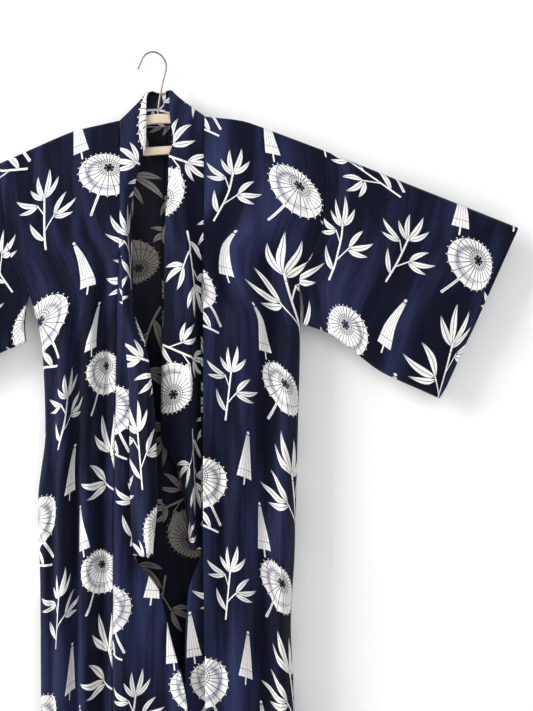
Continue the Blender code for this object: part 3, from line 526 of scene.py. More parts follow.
# The photograph's frame and the studio
SENSOR = 24.0
CAMERA_AWAY = 2.6
FRAME_X = 0.1975
FRAME_Z = -0.5264
FRAME_TALL = 1.237
WALL_Y = 0.045
WALL_TOP = 2.5
FLOOR_Z = -1.66
STAGE_HALF = 4.0
WORLD_STRENGTH = 0.45
WORLD_COLOUR = (0.96, 0.97, 1.0, 1.0)
LIT_PLACE = (0.1, 0.0, -0.6)
Light = namedtuple("Light", "name place size watts colour")
LIGHTS = (
    Light("key", (-3.0, -1.9, 1.2), 2.2, 175.0, (1.0, 0.99, 0.97)),
    Light("fill", (1.2, -3.2, 0.2), 2.4, 34.0, (0.97, 0.98, 1.0)),
    Light("back", (0.5, 2.8, 0.7), 2.6, 110.0, (1.0, 1.0, 1.0)),
)


def clamp(value, low=0.0, high=1.0):
    return max(low, min(high, value))


def ease(value):
    """Smooth step from 0 to 1."""
    value = clamp(value)
    return value * value * (3.0 - 2.0 * value)


def mix(first, second, share):
    return first + (second - first) * share


def parts(count):
    """Shares from 0 to 1 in count equal steps."""
    return [step / count for step in range(count + 1)]


def slope_at(keys, values, index):
    """Slope that never overshoots the table's own values."""
    if index in (0, len(keys) - 1):
        return 0.0
    before = (values[index] - values[index - 1]) / (keys[index] - keys[index - 1])
    after = (values[index + 1] - values[index]) / (keys[index + 1] - keys[index])
    if before * after <= 0.0:
        return 0.0
    return 2.0 * before * after / (before + after)


def read(table, drop, column):
    """Value of a column between two rows of a table, along a smooth curve."""
    keys = [row.drop for row in table]
    values = [getattr(row, column) for row in table]
    if drop <= keys[0]:
        return values[0]
    if drop >= keys[-1]:
        return values[-1]
    index = bisect.bisect_right(keys, drop) - 1
    span = keys[index + 1] - keys[index]
    t = (drop - keys[index]) / span
    start = slope_at(keys, values, index) * span
    end = slope_at(keys, values, index + 1) * span
    return ((2 * t ** 3 - 3 * t ** 2 + 1) * values[index] + (t ** 3 - 2 * t ** 2 + t) * start
            + (3 * t ** 2 - 2 * t ** 3) * values[index + 1] + (t ** 3 - t ** 2) * end)


def read_place(table, drop, name):
    """Two columns of a table, the one across and the one in depth."""
    return read(table, drop, name + "_x"), read(table, drop, name + "_y")


def through(points, share):
    """Point on a smooth curve through a few points, by its share of their count."""
    last = len(points) - 1
    place = clamp(share) * last
    index = min(int(place), last - 1)
    t = place - index
    before = points[max(index - 1, 0)]
    start = points[index]
    end = points[index + 1]
    after = points[min(index + 2, last)]
    found = []
    for a, b, c, d in zip(before, start, end, after):
        found.append(0.5 * (2 * b + (c - a) * t + (2 * a - 5 * b + 4 * c - d) * t ** 2
                            + (3 * b - a - 3 * c + d) * t ** 3))
    return tuple(found)


def measured(points):
    """Running length along a list of points."""
    lengths = [0.0]
    for first, second in zip(points, points[1:]):
        lengths.append(lengths[-1] + math.dist(first, second))
    return lengths


def at_length(points, lengths, share):
    """Point at a share of a polyline's length."""
    goal = clamp(share) * lengths[-1]
    index = min(bisect.bisect_right(lengths, goal) - 1, len(points) - 2)
    span = lengths[index + 1] - lengths[index]
    t = (goal - lengths[index]) / span if span else 0.0
    return tuple(mix(a, b, t) for a, b in zip(points[index], points[index + 1]))


def bar_top(x):
    """Height of the upper bar's top: a tilted bow, round in the middle."""
    away = x - HANGER_X
    return BAR_TOP + away * math.tan(TILT) - (math.hypot(away, BOW_ROUND) - BOW_ROUND) * math.tan(ARM_SLOPE)


def ridge(x):
    """Height of the shoulder's ridge: over the hanger's arm, then at its free slope."""
    side = 1 if x > HANGER_X else -1
    arm_angle = math.tan(ARM_SLOPE) - side * math.tan(TILT)
    past = abs(x - HANGER_X) - BAR_HALF_LENGTH - SLOPE_START
    bend = SLOPE_BLEND * math.log(1.0 + math.exp(past / SLOPE_BLEND))
    return bar_top(x) + CLOTH_LIFT - bend * (math.tan(FREE_SLOPE[side]) - arm_angle)


def fall(drop):
    """How far a point lies below the ridge after the round of the shoulder."""
    quarter = SHOULDER_RADIUS * math.pi / 2.0
    if drop < quarter:
        return SHOULDER_RADIUS * (1.0 - math.cos(drop / SHOULDER_RADIUS))
    return SHOULDER_RADIUS + drop - quarter


def reach(drop):
    """Share of the full depth that a point has while it rounds the shoulder."""
    return math.sin(min(drop / SHOULDER_RADIUS, math.pi / 2.0))


def fold_depth(folds, x, drop):
    """Sum of the folds at one place of a panel."""
    total = 0.0
    for fold in folds:
        share = clamp((drop - fold.start) / FOLD_SHIFT_RUN)
        middle = mix(fold.top_x, fold.low_x, share)
        away = abs(x - middle) / fold.half_width
        if away >= 1.0:
            continue
        strength = ease((drop - fold.start) / FOLD_START_RUN) * ease((fold.end - drop) / FOLD_END_RUN)
        total += fold.depth * strength * 0.5 * (1.0 + math.cos(math.pi * away))
    return total


def row_points(side, face, drop, gain):
    """One row of a main panel seen from above, from its side edge inwards."""
    table = HEIGHTS[side]
    side_x = read(table, drop, "side_x")
    gap = read(table, drop, "side_gap")
    if face == "front":
        outward = -1.0
        inner_x = read(table, drop, "edge_x")
        depth = read(table, drop, "front_y")
        inner_y = read(table, drop, "edge_y")
        folds = FRONT_FOLDS[side]
    else:
        outward = 1.0
        inner_x = read(CENTRE_SEAM, drop, "x") + side * SEAM_GAP / 2.0
        depth = read(table, drop, "back_y")
        inner_y = depth
        folds = BACK_FOLDS[side]
    side_y = outward * gap
    width = abs(inner_x - side_x)
    points = []
    for part in parts(ROW_STEPS):
        share = part ** ROW_CROWDING
        x = mix(side_x, inner_x, share)
        run = share * width
        rounded = math.sqrt(1.0 - (1.0 - clamp(run / SIDE_ROUND)) ** 2)
        closing = ease((drop - SIDE_CLOSE_START) / SIDE_CLOSE_RUN)
        bend = mix(ease(run / SIDE_BLEND), rounded, closing)
        base = mix(depth, inner_y, ease((share - EDGE_TURN_START) / EDGE_TURN_RUN))
        inside = ease(run / FOLD_FADE_SIDE) * ease((width - run) / FOLD_FADE_INNER)
        y = mix(side_y, base, bend) + outward * gain * inside * fold_depth(folds, x, drop)
        points.append((x, y * reach(drop)))
    return points


@functools.lru_cache(maxsize=None)
def row_curve(side, face, drop):
    """A row whose folds use up the panel's width of cloth."""
    goal = read(HEIGHTS[side], drop, face + "_cut")
    low = GAIN_LOW
    high = GAIN_HIGH
    for _ in range(GAIN_TRIES):
        gain = 0.5 * (low + high)
        points = row_points(side, face, drop, gain)
        lengths = measured(points)
        if lengths[-1] < goal:
            low = gain
        else:
            high = gain
    return points, lengths


def shoulder_x(side, share):
    """Place on the ridge, from the sleeve seam to the side of the neck."""
    top = HEIGHTS[side][0]
    return mix(top.side_x, top.edge_x, share)


def neck_share(side):
    """Where the neck's side lies between the sleeve seam, 0, and the centre seam, 1."""
    top = HEIGHTS[side][0]
    return abs(top.edge_x - top.side_x) / abs(CENTRE_SEAM[0].x - top.side_x)


def panel_point(side, face, share, drop):
    """Point of a main panel; share is 0 at the side and 1 at the neck's side."""
    points, lengths = row_curve(side, face, drop)
    along = share * neck_share(side) if face == "back" else share
    x, y = at_length(points, lengths, along)
    return x, y, ridge(shoulder_x(side, share)) - fall(drop)


def back_neck_point(side, share, drop):
    """Point of the back between the neck's side, 0, and the centre seam, 1."""
    lowered = NECK_DROP + (drop - TOP_DROP) * (HEM_DROP - NECK_DROP) / (HEM_DROP - TOP_DROP)
    points, lengths = row_curve(side, "back", lowered)
    x, y = at_length(points, lengths, mix(neck_share(side), 1.0, share))
    height = mix(ridge(HEIGHTS[side][0].edge_x), CENTRE_HEIGHT, share)
    return x, y, height - fall(lowered)


def overlap_curve(side, drop):
    """One row of an overlap panel seen from above, from the main panel to its edge."""
    table = OVERLAPS[side]
    start = panel_point(side, "front", 1.0, drop)
    route = (
        (start[0] + OVERLAP_START_SHIFT[side].x, start[1] + OVERLAP_START_SHIFT[side].y),
        read_place(table, drop, "first"),
        read_place(table, drop, "second"),
        read_place(table, drop, "edge"),
    )
    return [through(route, part) for part in parts(OVERLAP_STEPS)]


def overlap_point(side, share, drop):
    points = overlap_curve(side, drop)
    x, y = at_length(points, measured(points), share)
    height = ridge(HEIGHTS[side][0].edge_x)
    return x, y, height - fall(drop)


def front_edge(side, drop):
    """Edge that the collar is sewn to: the main panel's, then the overlap's."""
    if drop < OVERLAP_START:
        return panel_point(side, "front", 1.0, drop)
    return overlap_point(side, 1.0, drop)


def seam_point(side, drop):
    """Where the collar's seam lies, just clear of the edge that it is sewn to."""
    if drop < -TOP_DROP:
        share = (drop + TOP_DROP) / (CENTRE_KEY + TOP_DROP)
        x, y, z = back_neck_point(side, share, TOP_DROP)
        return x, y + NECK_SEAM_DEPTH, z + NECK_SEAM_GAP
    if drop < 0.0:
        x, y, z = panel_point(side, "back", 1.0, -drop)
        return x - side * NECK_SEAM_GAP, y + NECK_SEAM_DEPTH, z + NECK_SEAM_GAP
    x, y, z = front_edge(side, drop)
    gap = mix(NECK_SEAM_GAP, SEAM_GAP, ease((drop - SEAM_CLOSE_START) / SEAM_CLOSE_RUN))
    rise = gap - SEAM_GAP
    if side < 0:
        gap = mix(gap, LOW_SEAM_GAP, ease((drop - SEAM_OPEN_START) / SEAM_OPEN_RUN))
    return x - side * gap, y, z + rise


def collar_station(side, drop):
    """Seam, middle, fold and free edge of the collar at one place along it."""
    table = BANDS[side]
    seam = seam_point(side, drop)
    rise = read(table, drop, "rise")
    return (
        seam,
        (*read_place(table, drop, "mid"), seam[2] + BAND_MIDDLE_RISE * rise),
        (*read_place(table, drop, "fold"), seam[2] + rise),
        (*read_place(table, drop, "free"), seam[2] + rise),
    )


def sleeve_depth(side, along, down, whole):
    """Half the thickness of the hanging sleeve at a place on it."""
    drop = down * whole
    inner = read(HEIGHTS[side], drop, "side_gap") if drop <= ARMHOLE_DROP else SLEEVE_FREE_GAP
    swell = math.sin(math.pi * down) * math.sin(math.pi * min(along * SLEEVE_BULGE_SHIFT, 1.0))
    cuff = mix(SLEEVE_DEPTH, CUFF_HALF_SLIT, ease((down - CUFF_OPEN_SHARE) / CUFF_CLOSE_RUN))
    depth = mix(inner, SLEEVE_DEPTH + SLEEVE_BULGE * swell, ease(along / SLEEVE_SEAM_RUN))
    return mix(depth, cuff, ease((along - CUFF_START) / CUFF_RUN))


def sleeve_crease(along, down):
    """How far the creases move a face at a place, more towards its lower part."""
    total = 0.0
    for crease in SLEEVE_CREASES:
        middle = mix(crease.top_share, crease.low_share, down)
        away = abs(along - middle) / crease.half_width
        if away < 1.0:
            total += crease.depth * 0.5 * (1.0 + math.cos(math.pi * away))
    return total * math.sin(math.pi * clamp(down)) * ease((1.0 - along) / 0.2) * ease(along / 0.12)


def sleeve_edges(side):
    """The four edges of a sleeve seen from the front, as functions of a share."""
    outline = SLEEVES[side]
    start_x = HEIGHTS[side][0].side_x + side * SEAM_GAP
    seam_height = ridge(HEIGHTS[side][0].side_x)
    top = ((start_x, ridge(start_x)), outline.cuff_top)
    cuff = (outline.cuff_top, outline.cuff_middle, outline.cuff_low, outline.corner)
    bottom = (outline.inner_low,) + tuple(reversed(outline.bottom)) + (outline.corner,)
    seam_end = seam_height - fall(ARMHOLE_DROP)
    whole = seam_height - outline.inner_low.z

    def inner(share):
        drop = share * whole
        if drop <= ARMHOLE_DROP:
            return read(HEIGHTS[side], drop, "side_x") + side * SEAM_GAP, seam_height - fall(drop)
        free = (drop - ARMHOLE_DROP) / (whole - ARMHOLE_DROP)
        start = read(HEIGHTS[side], ARMHOLE_DROP, "side_x") + side * SEAM_GAP
        away = side * FURI_BOW * math.sin(math.pi * free)
        return mix(start, outline.inner_low.x, ease(free)) + away, mix(seam_end, outline.inner_low.z, free)

    return (lambda share: through(top, share), lambda share: through(bottom, share),
            inner, lambda share: through(cuff, share), whole)


def sleeve_place(edges, along, down):
    """Place on the sleeve seen from the front, between its four edges."""
    top, bottom, inner, cuff, _ = edges
    above = top(along)
    below = bottom(along)
    near = inner(down)
    far = cuff(down)
    corners = (inner(0.0), cuff(0.0), inner(1.0), cuff(1.0))
    found = []
    for axis in range(2):
        between_rows = mix(above[axis], below[axis], down)
        between_columns = mix(near[axis], far[axis], along)
        corner_part = mix(mix(corners[0][axis], corners[1][axis], along),
                          mix(corners[2][axis], corners[3][axis], along), down)
        found.append(between_rows + between_columns - corner_part)
    return found


def upper_height(x):
    """Height of the upper bar's wood, thinner towards its ends."""
    return mix(BAR_HEIGHT, BAR_END_HEIGHT, abs(x - HANGER_X) / BAR_HALF_LENGTH)


def lower_top(x):
    return LOWER_BAR_TOP + (x - HANGER_X) * math.tan(TILT)


def metres(point):
    return tuple(value * MM for value in point)


def crease_lift(x, z, face):
    """How far the cloth stands out at a place, from its creases and faint ripples."""
    total = 0.0
    for crease in WRINKLES:
        if crease.face not in (face, "both"):
            continue
        run_x = crease.x1 - crease.x0
        run_z = crease.z1 - crease.z0
        length = math.hypot(run_x, run_z)
        along = ((x - crease.x0) * run_x + (z - crease.z0) * run_z) / length ** 2
        if not 0.0 < along < 1.0:
            continue
        away = ((x - crease.x0) * run_z - (z - crease.z0) * run_x) / length
        away += WRINKLE_SWAY * math.sin(3.0 * along + crease.x0)
        share = abs(away) / (crease.half_width * (0.7 + 0.6 * along))
        if share < 1.0:
            total += crease.depth * math.sin(math.pi * along) * (1.0 - share * share) ** 2
    shift = BACK_SHIFT if face == "back" else 0.0
    for ripple in RIPPLES:
        place = Vector((x / ripple.across + shift, z / ripple.down, ripple.layer))
        total += ripple.lift * noise.noise(place)
    return total


def lifted(point, face, amount=1.0):
    """A point of the cloth moved out by its creases, and less at the shoulder's ridge."""
    x, y, z = point
    outward = -1.0 if face == "front" else 1.0
    strength = ease((ridge(x) - z) / RIDGE_FADE) * amount
    return x, y + outward * strength * crease_lift(x, z, face), z


def smooth_mesh(name, builder):
    """The mesh that a builder holds, smooth shaded."""
    mesh = bpy.data.meshes.new(name)
    builder.to_mesh(mesh)
    builder.free()
    mesh.shade_smooth()
    return mesh


def placed(name, data):
    """A new object in the scene."""
    thing = bpy.data.objects.new(name, data)
    bpy.context.scene.collection.objects.link(thing)
    return thing


def surface(name, grids, outward):
    """One surface from several grids of (point, flat place), facing outward(centre)."""
    builder = bmesh.new()
    flat = builder.loops.layers.uv.new("flat")
    corners = {}

    def corner(point):
        key = tuple(round(value, 3) for value in point)
        if key not in corners:
            corners[key] = builder.verts.new(metres(point))
        return corners[key]

    for rows in grids:
        for upper, lower in zip(rows, rows[1:]):
            for index in range(min(len(upper), len(lower)) - 1):
                after = index + 1
                four = (upper[index], lower[index], lower[after], upper[after])
                ring = []
                places = []
                for point, place in four:
                    vertex = corner(point)
                    if vertex not in ring:
                        ring.append(vertex)
                        places.append(place)
                if len(ring) < 3:
                    continue
                try:
                    face = builder.faces.new(ring)
                except ValueError:
                    continue
                for loop, place in zip(face.loops, places):
                    loop[flat].uv = place
    bmesh.ops.recalc_face_normals(builder, faces=builder.faces)
    votes = 0
    for face in builder.faces:
        way = outward(face.calc_center_median() / MM)
        if way:
            votes += 1 if face.normal.dot(Vector(way)) > 0.0 else -1
    if votes < 0:
        bmesh.ops.reverse_faces(builder, faces=builder.faces)
    return smooth_mesh(name, builder)


def cloth_piece(name, mesh, wall, node, doubled=False):
    """A panel of cloth: its own face outside, and inside, unless doubled, the same cloth darkened with
    painted shade.
    """
    thing = placed(name, mesh)
    mesh.materials.append(bpy.data.materials["cotton_face"])
    # The inside faces get the darker copy of the cotton: painted shade
    mesh.materials.append(bpy.data.materials["cotton_inside_painted_shade"])
    solidify = thing.modifiers.new("wall", "SOLIDIFY")
    solidify.thickness = wall * MM
    solidify.offset = 0.0
    solidify.material_offset = 0 if doubled else 1
    solidify.material_offset_rim = 0
    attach(thing, "root")
    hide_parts(node)
    return thing


def spread(start, end, step):
    """Evenly spaced values from start to end, about step apart."""
    count = max(1, round((end - start) / step))
    return [mix(start, end, share) for share in parts(count)]


def fade(share):
    """Creases fade out towards the seams at both sides of a panel."""
    return ease(share / SIDE_FADE) * ease((1.0 - share) / INNER_FADE)


def flat_place(side, face, part, drop):
    """Place on the flat cloth of a point at a part of a main panel's row."""
    across = HALF_LOOM - part * row_curve(side, face, drop)[1][-1]
    down = -drop if face == "front" else drop
    return side * across * MM, down * MM


def out_of_panel(centre):
    return (0.0, -1.0, 0.0) if centre.y < FRONT_BEFORE else (0.0, 1.0, 0.0)


def make_main_panel(side, word):
    """One length of cloth from the front hem over the shoulder to the back hem."""
    shares = parts(FINE_PANEL_COLUMNS)
    neck_shares = parts(FINE_NECK_COLUMNS)[1:]
    neck = neck_share(side)
    drops = spread(0, TOP_DROP, 2.0) + spread(TOP_DROP, CLOSED_DROP, 7.0)[1:]
    drops += spread(CLOSED_DROP, HEM_DROP, 8.5)[1:]
    front = []
    back = []
    for drop in drops:
        front.append([(lifted(panel_point(side, "front", share, drop), "front", fade(share)),
                       flat_place(side, "front", share, drop)) for share in shares])
        row = [(lifted(panel_point(side, "back", share, drop), "back", ease(share / SIDE_FADE)),
                flat_place(side, "back", share * neck, drop)) for share in shares]
        if drop >= TOP_DROP:
            row += [(lifted(back_neck_point(side, share, drop), "back", ease((1.0 - share) / NECK_FADE)),
                     flat_place(side, "back", mix(neck, 1.0, share), drop)) for share in neck_shares]
        if drop >= CLOSED_DROP:
            row[0] = (front[-1][0][0], row[0][1])
        back.append(row)
    back[0] = [(point, place) for (point, _), (_, place) in zip(front[0], back[0])]
    first = drops.index(TOP_DROP)
    over_ridge = [row[:len(shares)] for row in back[:first + 1]]
    grids = (front, over_ridge, back[first:])
    name = "robe_body_" + word
    panel = cloth_piece(name, surface(name, grids, out_of_panel), FINE_WALL, "body_" + word)


def make_overlap(side, word):
    """Long panel sewn to the front edge of a main panel."""
    shares = parts(FINE_OVERLAP_COLUMNS)
    drops = spread(OVERLAP_ROWS[0], HEM_DROP, 7.0)
    widths = [measured(overlap_curve(side, drop))[-1] for drop in drops]
    rows = []
    for drop, width in zip(drops, widths):
        row = []
        for share in shares:
            point = lifted(overlap_point(side, share, drop), "front", 0.5 * fade(share))
            across = OVERLAP_FLAT_X + share * width
            row.append((point, (-side * across * MM, -(drop + OVERLAP_FLAT_DROP) * MM)))
        rows.append(row)
    name = "robe_okumi_" + word
    mesh = surface(name, (rows,), lambda centre: (0.0, -1.0, 0.0))
    piece = cloth_piece(name, mesh, FINE_WALL, "okumi_" + word)


def fine_stations():
    """The collar's stations, with more of them between those of its solid."""
    stations = []
    for side in (-1, 1):
        end = BANDS[side][-1].drop
        drops = [drop for drop in ROWS if drop < OVERLAP_START]
        drops += [drop for drop in OVERLAP_ROWS if drop < end] + [end]
        around = [mix(-TOP_DROP, CENTRE_KEY, share) for share in reversed(parts(NECK_COLUMNS))]
        around.append(-ROWS[FIRST_NECK_ROW - 1])
        keys = around + drops
        fine = []
        for first, second in zip(keys, keys[1:]):
            fine += spread(first, second, 8.0 if first >= 0.0 else 2.0)[:-1]
        fine.append(keys[-1])
        run = [collar_station(side, drop) for drop in fine]
        stations += list(reversed(run)) if side < 0 else run[1:]
    return stations


def out_of_collar(centre):
    return (0.0, -1.0, 0.0) if centre.z < -300.0 else None


def make_collar():
    """Double band round the back of the neck and down both fronts."""
    rows = []
    run = 0.0
    before = None
    for lines in fine_stations():
        outer = lines[:3]
        dense = [through(outer, part) for part in parts(COLLAR_CURVE_STEPS)]
        lengths = measured(dense)
        row = [at_length(dense, lengths, part) for part in parts(COLLAR_OUTER_COLUMNS)]
        for part in parts(COLLAR_INNER_COLUMNS)[1:]:
            row.append(tuple(mix(a, b, part) for a, b in zip(lines[2], lines[3])))
        if before:
            run += math.dist(before, row[0])
        before = row[0]
        across = measured(row)
        soft = [(x, y + 0.5 * noise.noise(Vector((x / 16.0, z / 40.0, 9.0))), z) for x, y, z in row]
        rows.append([(point, (COLLAR_FLAT_X + wide * MM, run * MM)) for point, wide in zip(soft, across)])
    mesh = surface("robe_collar", (rows,), out_of_collar)
    piece = cloth_piece("robe_collar", mesh, FINE_COLLAR_WALL, "collar", doubled=True)
    area = sum(face.area for face in mesh.polygons)
    wide = max(measured([point for point, _ in row])[-1] for row in rows) * MM


def sleeve_half(side, edges, along, downs, face):
    """One face of a sleeve at a place along it, from its top edge down."""
    outward = -1.0 if face == "front" else 1.0
    whole = edges[4]
    low_share = SLEEVE_LOW_RADIUS / whole
    half = []
    for down in downs:
        x, z = sleeve_place(edges, along, down)
        rounding = reach(down * whole)
        if down > 1.0 - low_share:
            rounding = math.sqrt(max(0.0, 1.0 - (1.0 - (1.0 - down) / low_share) ** 2))
        depth = sleeve_depth(side, along, down, whole) + sleeve_crease(along, down)
        soft = ease(along / 0.06) * mix(0.25, 1.0, ease((1.0 - along) / 0.1)) * ease((1.0 - down) / 0.06)
        lift = crease_lift(x, z, face) * ease(down * whole / RIDGE_FADE) * soft * rounding
        thick = max(depth * rounding + lift, rounding * min(depth, 1.6))
        place = (side * (HALF_LOOM * MM + along * SLEEVE_WIDTH), outward * down * SLEEVE_DROP)
        half.append(((x, outward * thick, z), place))
    return half


def make_sleeve(side, word):
    """Tube of cloth folded at the top, its cuff open for the upper part."""
    edges = sleeve_edges(side)
    whole = edges[4]
    low_share = SLEEVE_LOW_RADIUS / whole
    downs = [drop / whole for drop in spread(0, 12, 2.0) + spread(12, ARMHOLE_DROP, 6.0)[1:]]
    downs += spread(ARMHOLE_DROP / whole, 1.0 - low_share, 0.025)[1:]
    downs += [1.0 - low_share * part for part in (0.7, 0.4, 0.15, 0.0)]
    fronts = []
    backs = []
    for along in parts(FINE_SLEEVE_COLUMNS):
        front = sleeve_half(side, edges, along, downs, "front")
        back = sleeve_half(side, edges, along, downs, "back")
        back[0] = (front[0][0], back[0][1])
        back[-1] = (front[-1][0], back[-1][1])
        fronts.append(front)
        backs.append(back)
    name = "robe_sleeve_" + word
    mesh = surface(name, (fronts, backs), out_of_sleeve)
    piece = cloth_piece(name, mesh, FINE_WALL, "sleeve_" + word)


def out_of_sleeve(centre):
    return (0.0, -1.0, 0.0) if centre.y < 0.0 else (0.0, 1.0, 0.0)


class Nodes:
    """Short calls that add math nodes to one node tree."""

    def __init__(self, tree):
        self.tree = tree

    def add(self, kind):
        return self.tree.nodes.new(kind)

    def put(self, socket, value):
        if hasattr(value, "is_output"):
            self.tree.links.new(value, socket)
        else:
            socket.default_value = value

    def math(self, operation, *values, clamped=False):
        node = self.add("ShaderNodeMath")
        node.operation = operation
        node.use_clamp = clamped
        for socket, value in zip(node.inputs, values):
            self.put(socket, value)
        return node.outputs[0]

    def plus(self, a, b):
        return self.math("ADD", a, b)

    def minus(self, a, b):
        return self.math("SUBTRACT", a, b)

    def times(self, a, b):
        return self.math("MULTIPLY", a, b)

    def fit(self, value, factor, added, clamped=False):
        return self.math("MULTIPLY_ADD", value, factor, added, clamped=clamped)

    def positive(self, value):
        return self.math("ABSOLUTE", value)

    def least(self, *values):
        return functools.reduce(lambda a, b: self.math("MINIMUM", a, b), values)

    def most(self, *values):
        return functools.reduce(lambda a, b: self.math("MAXIMUM", a, b), values)

    def size(self, a, b):
        return self.math("SQRT", self.plus(self.times(a, a), self.times(b, b)))

    def blend(self, share, first, second):
        node = self.add("ShaderNodeMix")
        node.data_type = "RGBA"
        self.put(node.inputs[0], share)
        self.put(node.inputs[6], first)
        self.put(node.inputs[7], second)
        return node.outputs[2]

    def noise(self, vector, scale, detail=3.0):
        node = self.add("ShaderNodeTexNoise")
        self.put(node.inputs["Vector"], vector)
        node.inputs["Scale"].default_value = scale
        node.inputs["Detail"].default_value = detail
        return node.outputs["Fac"]

    def stretch(self, vector, scale):
        node = self.add("ShaderNodeMapping")
        self.put(node.inputs["Vector"], vector)
        node.inputs["Scale"].default_value = scale
        return node.outputs[0]


def wrapped(nodes, value, centre, period):
    """Distance from a centre, repeating over the tile."""
    turns = nodes.math("FRACT", nodes.fit(nodes.minus(value, centre), 1.0 / period, 0.5))
    return nodes.times(nodes.minus(turns, 0.5), period)


def turned(nodes, x, y, degrees):
    """Coordinates along and across a direction."""
    cos = math.cos(math.radians(degrees))
    sin = math.sin(math.radians(degrees))
    along = nodes.plus(nodes.times(x, cos), nodes.times(y, sin))
    across = nodes.minus(nodes.times(y, cos), nodes.times(x, sin))
    return along, across


def bar_mask(nodes, along, across, start, end, half):
    """Straight stick with round ends."""
    past = nodes.minus(along, nodes.least(nodes.most(along, start), end))
    return nodes.minus(half, nodes.size(past, across))


def leaf_mask(nodes, x, y, leaf):
    """Curved pointed leaf with a fine midrib."""
    along, across = turned(nodes, nodes.minus(x, leaf.along), nodes.minus(y, leaf.across), leaf.turn)
    share = nodes.least(nodes.times(along, 1.0 / leaf.length), LEAF_SHARE_LIMIT)
    arch = nodes.times(share, nodes.minus(1.0, share))
    away = nodes.positive(nodes.minus(across, nodes.times(arch, leaf.bend * 4.0)))
    half = nodes.times(arch, nodes.fit(share, LEAF_TAPER * leaf.half, LEAF_FULL * leaf.half))
    return nodes.least(nodes.minus(half, away), nodes.minus(away, MIDRIB_HALF))


def twig_mask(nodes, x, y, twig):
    """Twig with a dark gap at each joint."""
    along, across = turned(nodes, nodes.minus(x, twig.along), nodes.minus(y, twig.across), twig.turn)
    stem = bar_mask(nodes, along, across, 0.0, twig.length, twig.half)
    joint = nodes.math("PINGPONG", nodes.plus(along, 0.5 * JOINT_STEP), JOINT_STEP)
    return nodes.least(stem, nodes.minus(joint, JOINT_GAP))


def spray_mask(nodes, u, v, spray):
    """Bamboo spray: jointed twigs and their leaves."""
    middle = SPRAY_MIDDLE * spray.size
    x = wrapped(nodes, u, spray.x + middle * math.cos(math.radians(spray.turn)), TILE_WIDE)
    y = wrapped(nodes, v, spray.y + middle * math.sin(math.radians(spray.turn)), TILE_TALL)
    along, across = turned(nodes, x, y, spray.turn)
    along = nodes.fit(along, 1.0 / spray.size, SPRAY_MIDDLE)
    across = nodes.times(across, spray.hand / spray.size)
    masks = [twig_mask(nodes, along, across, twig) for twig in TWIGS]
    masks += [leaf_mask(nodes, along, across, leaf) for leaf in LEAVES]
    return nodes.most(*masks)


def umbrella_mask(nodes, u, v, umbrella):
    """Open umbrella with ribs, rings, a dotted rim and a stick; also its smudge."""
    x = wrapped(nodes, u, umbrella.x, TILE_WIDE)
    y = wrapped(nodes, v, umbrella.y, TILE_TALL)
    along, across = turned(nodes, x, y, umbrella.turn)
    radius = umbrella.radius
    deep = nodes.times(along, 1.0 / umbrella.squash)
    rim = nodes.times(nodes.size(deep, across), 1.0 / radius)
    off = nodes.plus(deep, umbrella.hub * radius)
    angle = nodes.math("ARCTAN2", across, off)
    hub = nodes.size(off, across)
    turn = nodes.math("FRACT", nodes.fit(angle, RIBS / (2.0 * math.pi), 0.5))
    from_rib = nodes.positive(nodes.minus(turn, 0.5))
    rib_away = nodes.times(nodes.times(from_rib, 2.0 * math.pi / RIBS), hub)
    edge = nodes.fit(from_rib, -RIM_SCALLOP, 1.0)
    disc = nodes.times(nodes.minus(edge, rim), radius)
    ribs = nodes.minus(rib_away, RIB_HALF)
    rings = []
    for place in RING_PLACES:
        ring = nodes.positive(nodes.minus(hub, place * radius))
        rings.append(nodes.minus(ring, RING_HALF))
    petals = nodes.math("COSINE", nodes.times(angle, PETALS))
    core = nodes.positive(nodes.minus(hub, PETAL_PLACE * radius))
    blob = nodes.minus(core, nodes.fit(petals, PETAL_SWELL, PETAL_HALF))
    cap = nodes.minus(hub, CAP_RADIUS)
    white = nodes.least(disc, ribs, *rings, blob, cap)
    bead_out = nodes.times(nodes.minus(rim, BEAD_PLACE), radius)
    bead = nodes.minus(BEAD_RADIUS, nodes.size(bead_out, rib_away))
    near_rim = umbrella.squash * radius
    stick = bar_mask(nodes, along, across, near_rim, near_rim + STICK_LENGTH, STICK_HALF)
    stick = nodes.least(stick, nodes.minus(nodes.positive(across), STICK_GROOVE))
    from_smudge = nodes.positive(nodes.minus(rim, SMUDGE_PLACE))
    smudge_ring = nodes.fit(from_smudge, -SMUDGE_NARROW, 1.0, clamped=True)
    facing = nodes.math("COSINE", nodes.minus(angle, math.radians(umbrella.smudge)))
    smudge = nodes.times(smudge_ring, nodes.fit(facing, SMUDGE_TURN, SMUDGE_ALL_ROUND, clamped=True))
    return nodes.most(white, bead, stick), smudge


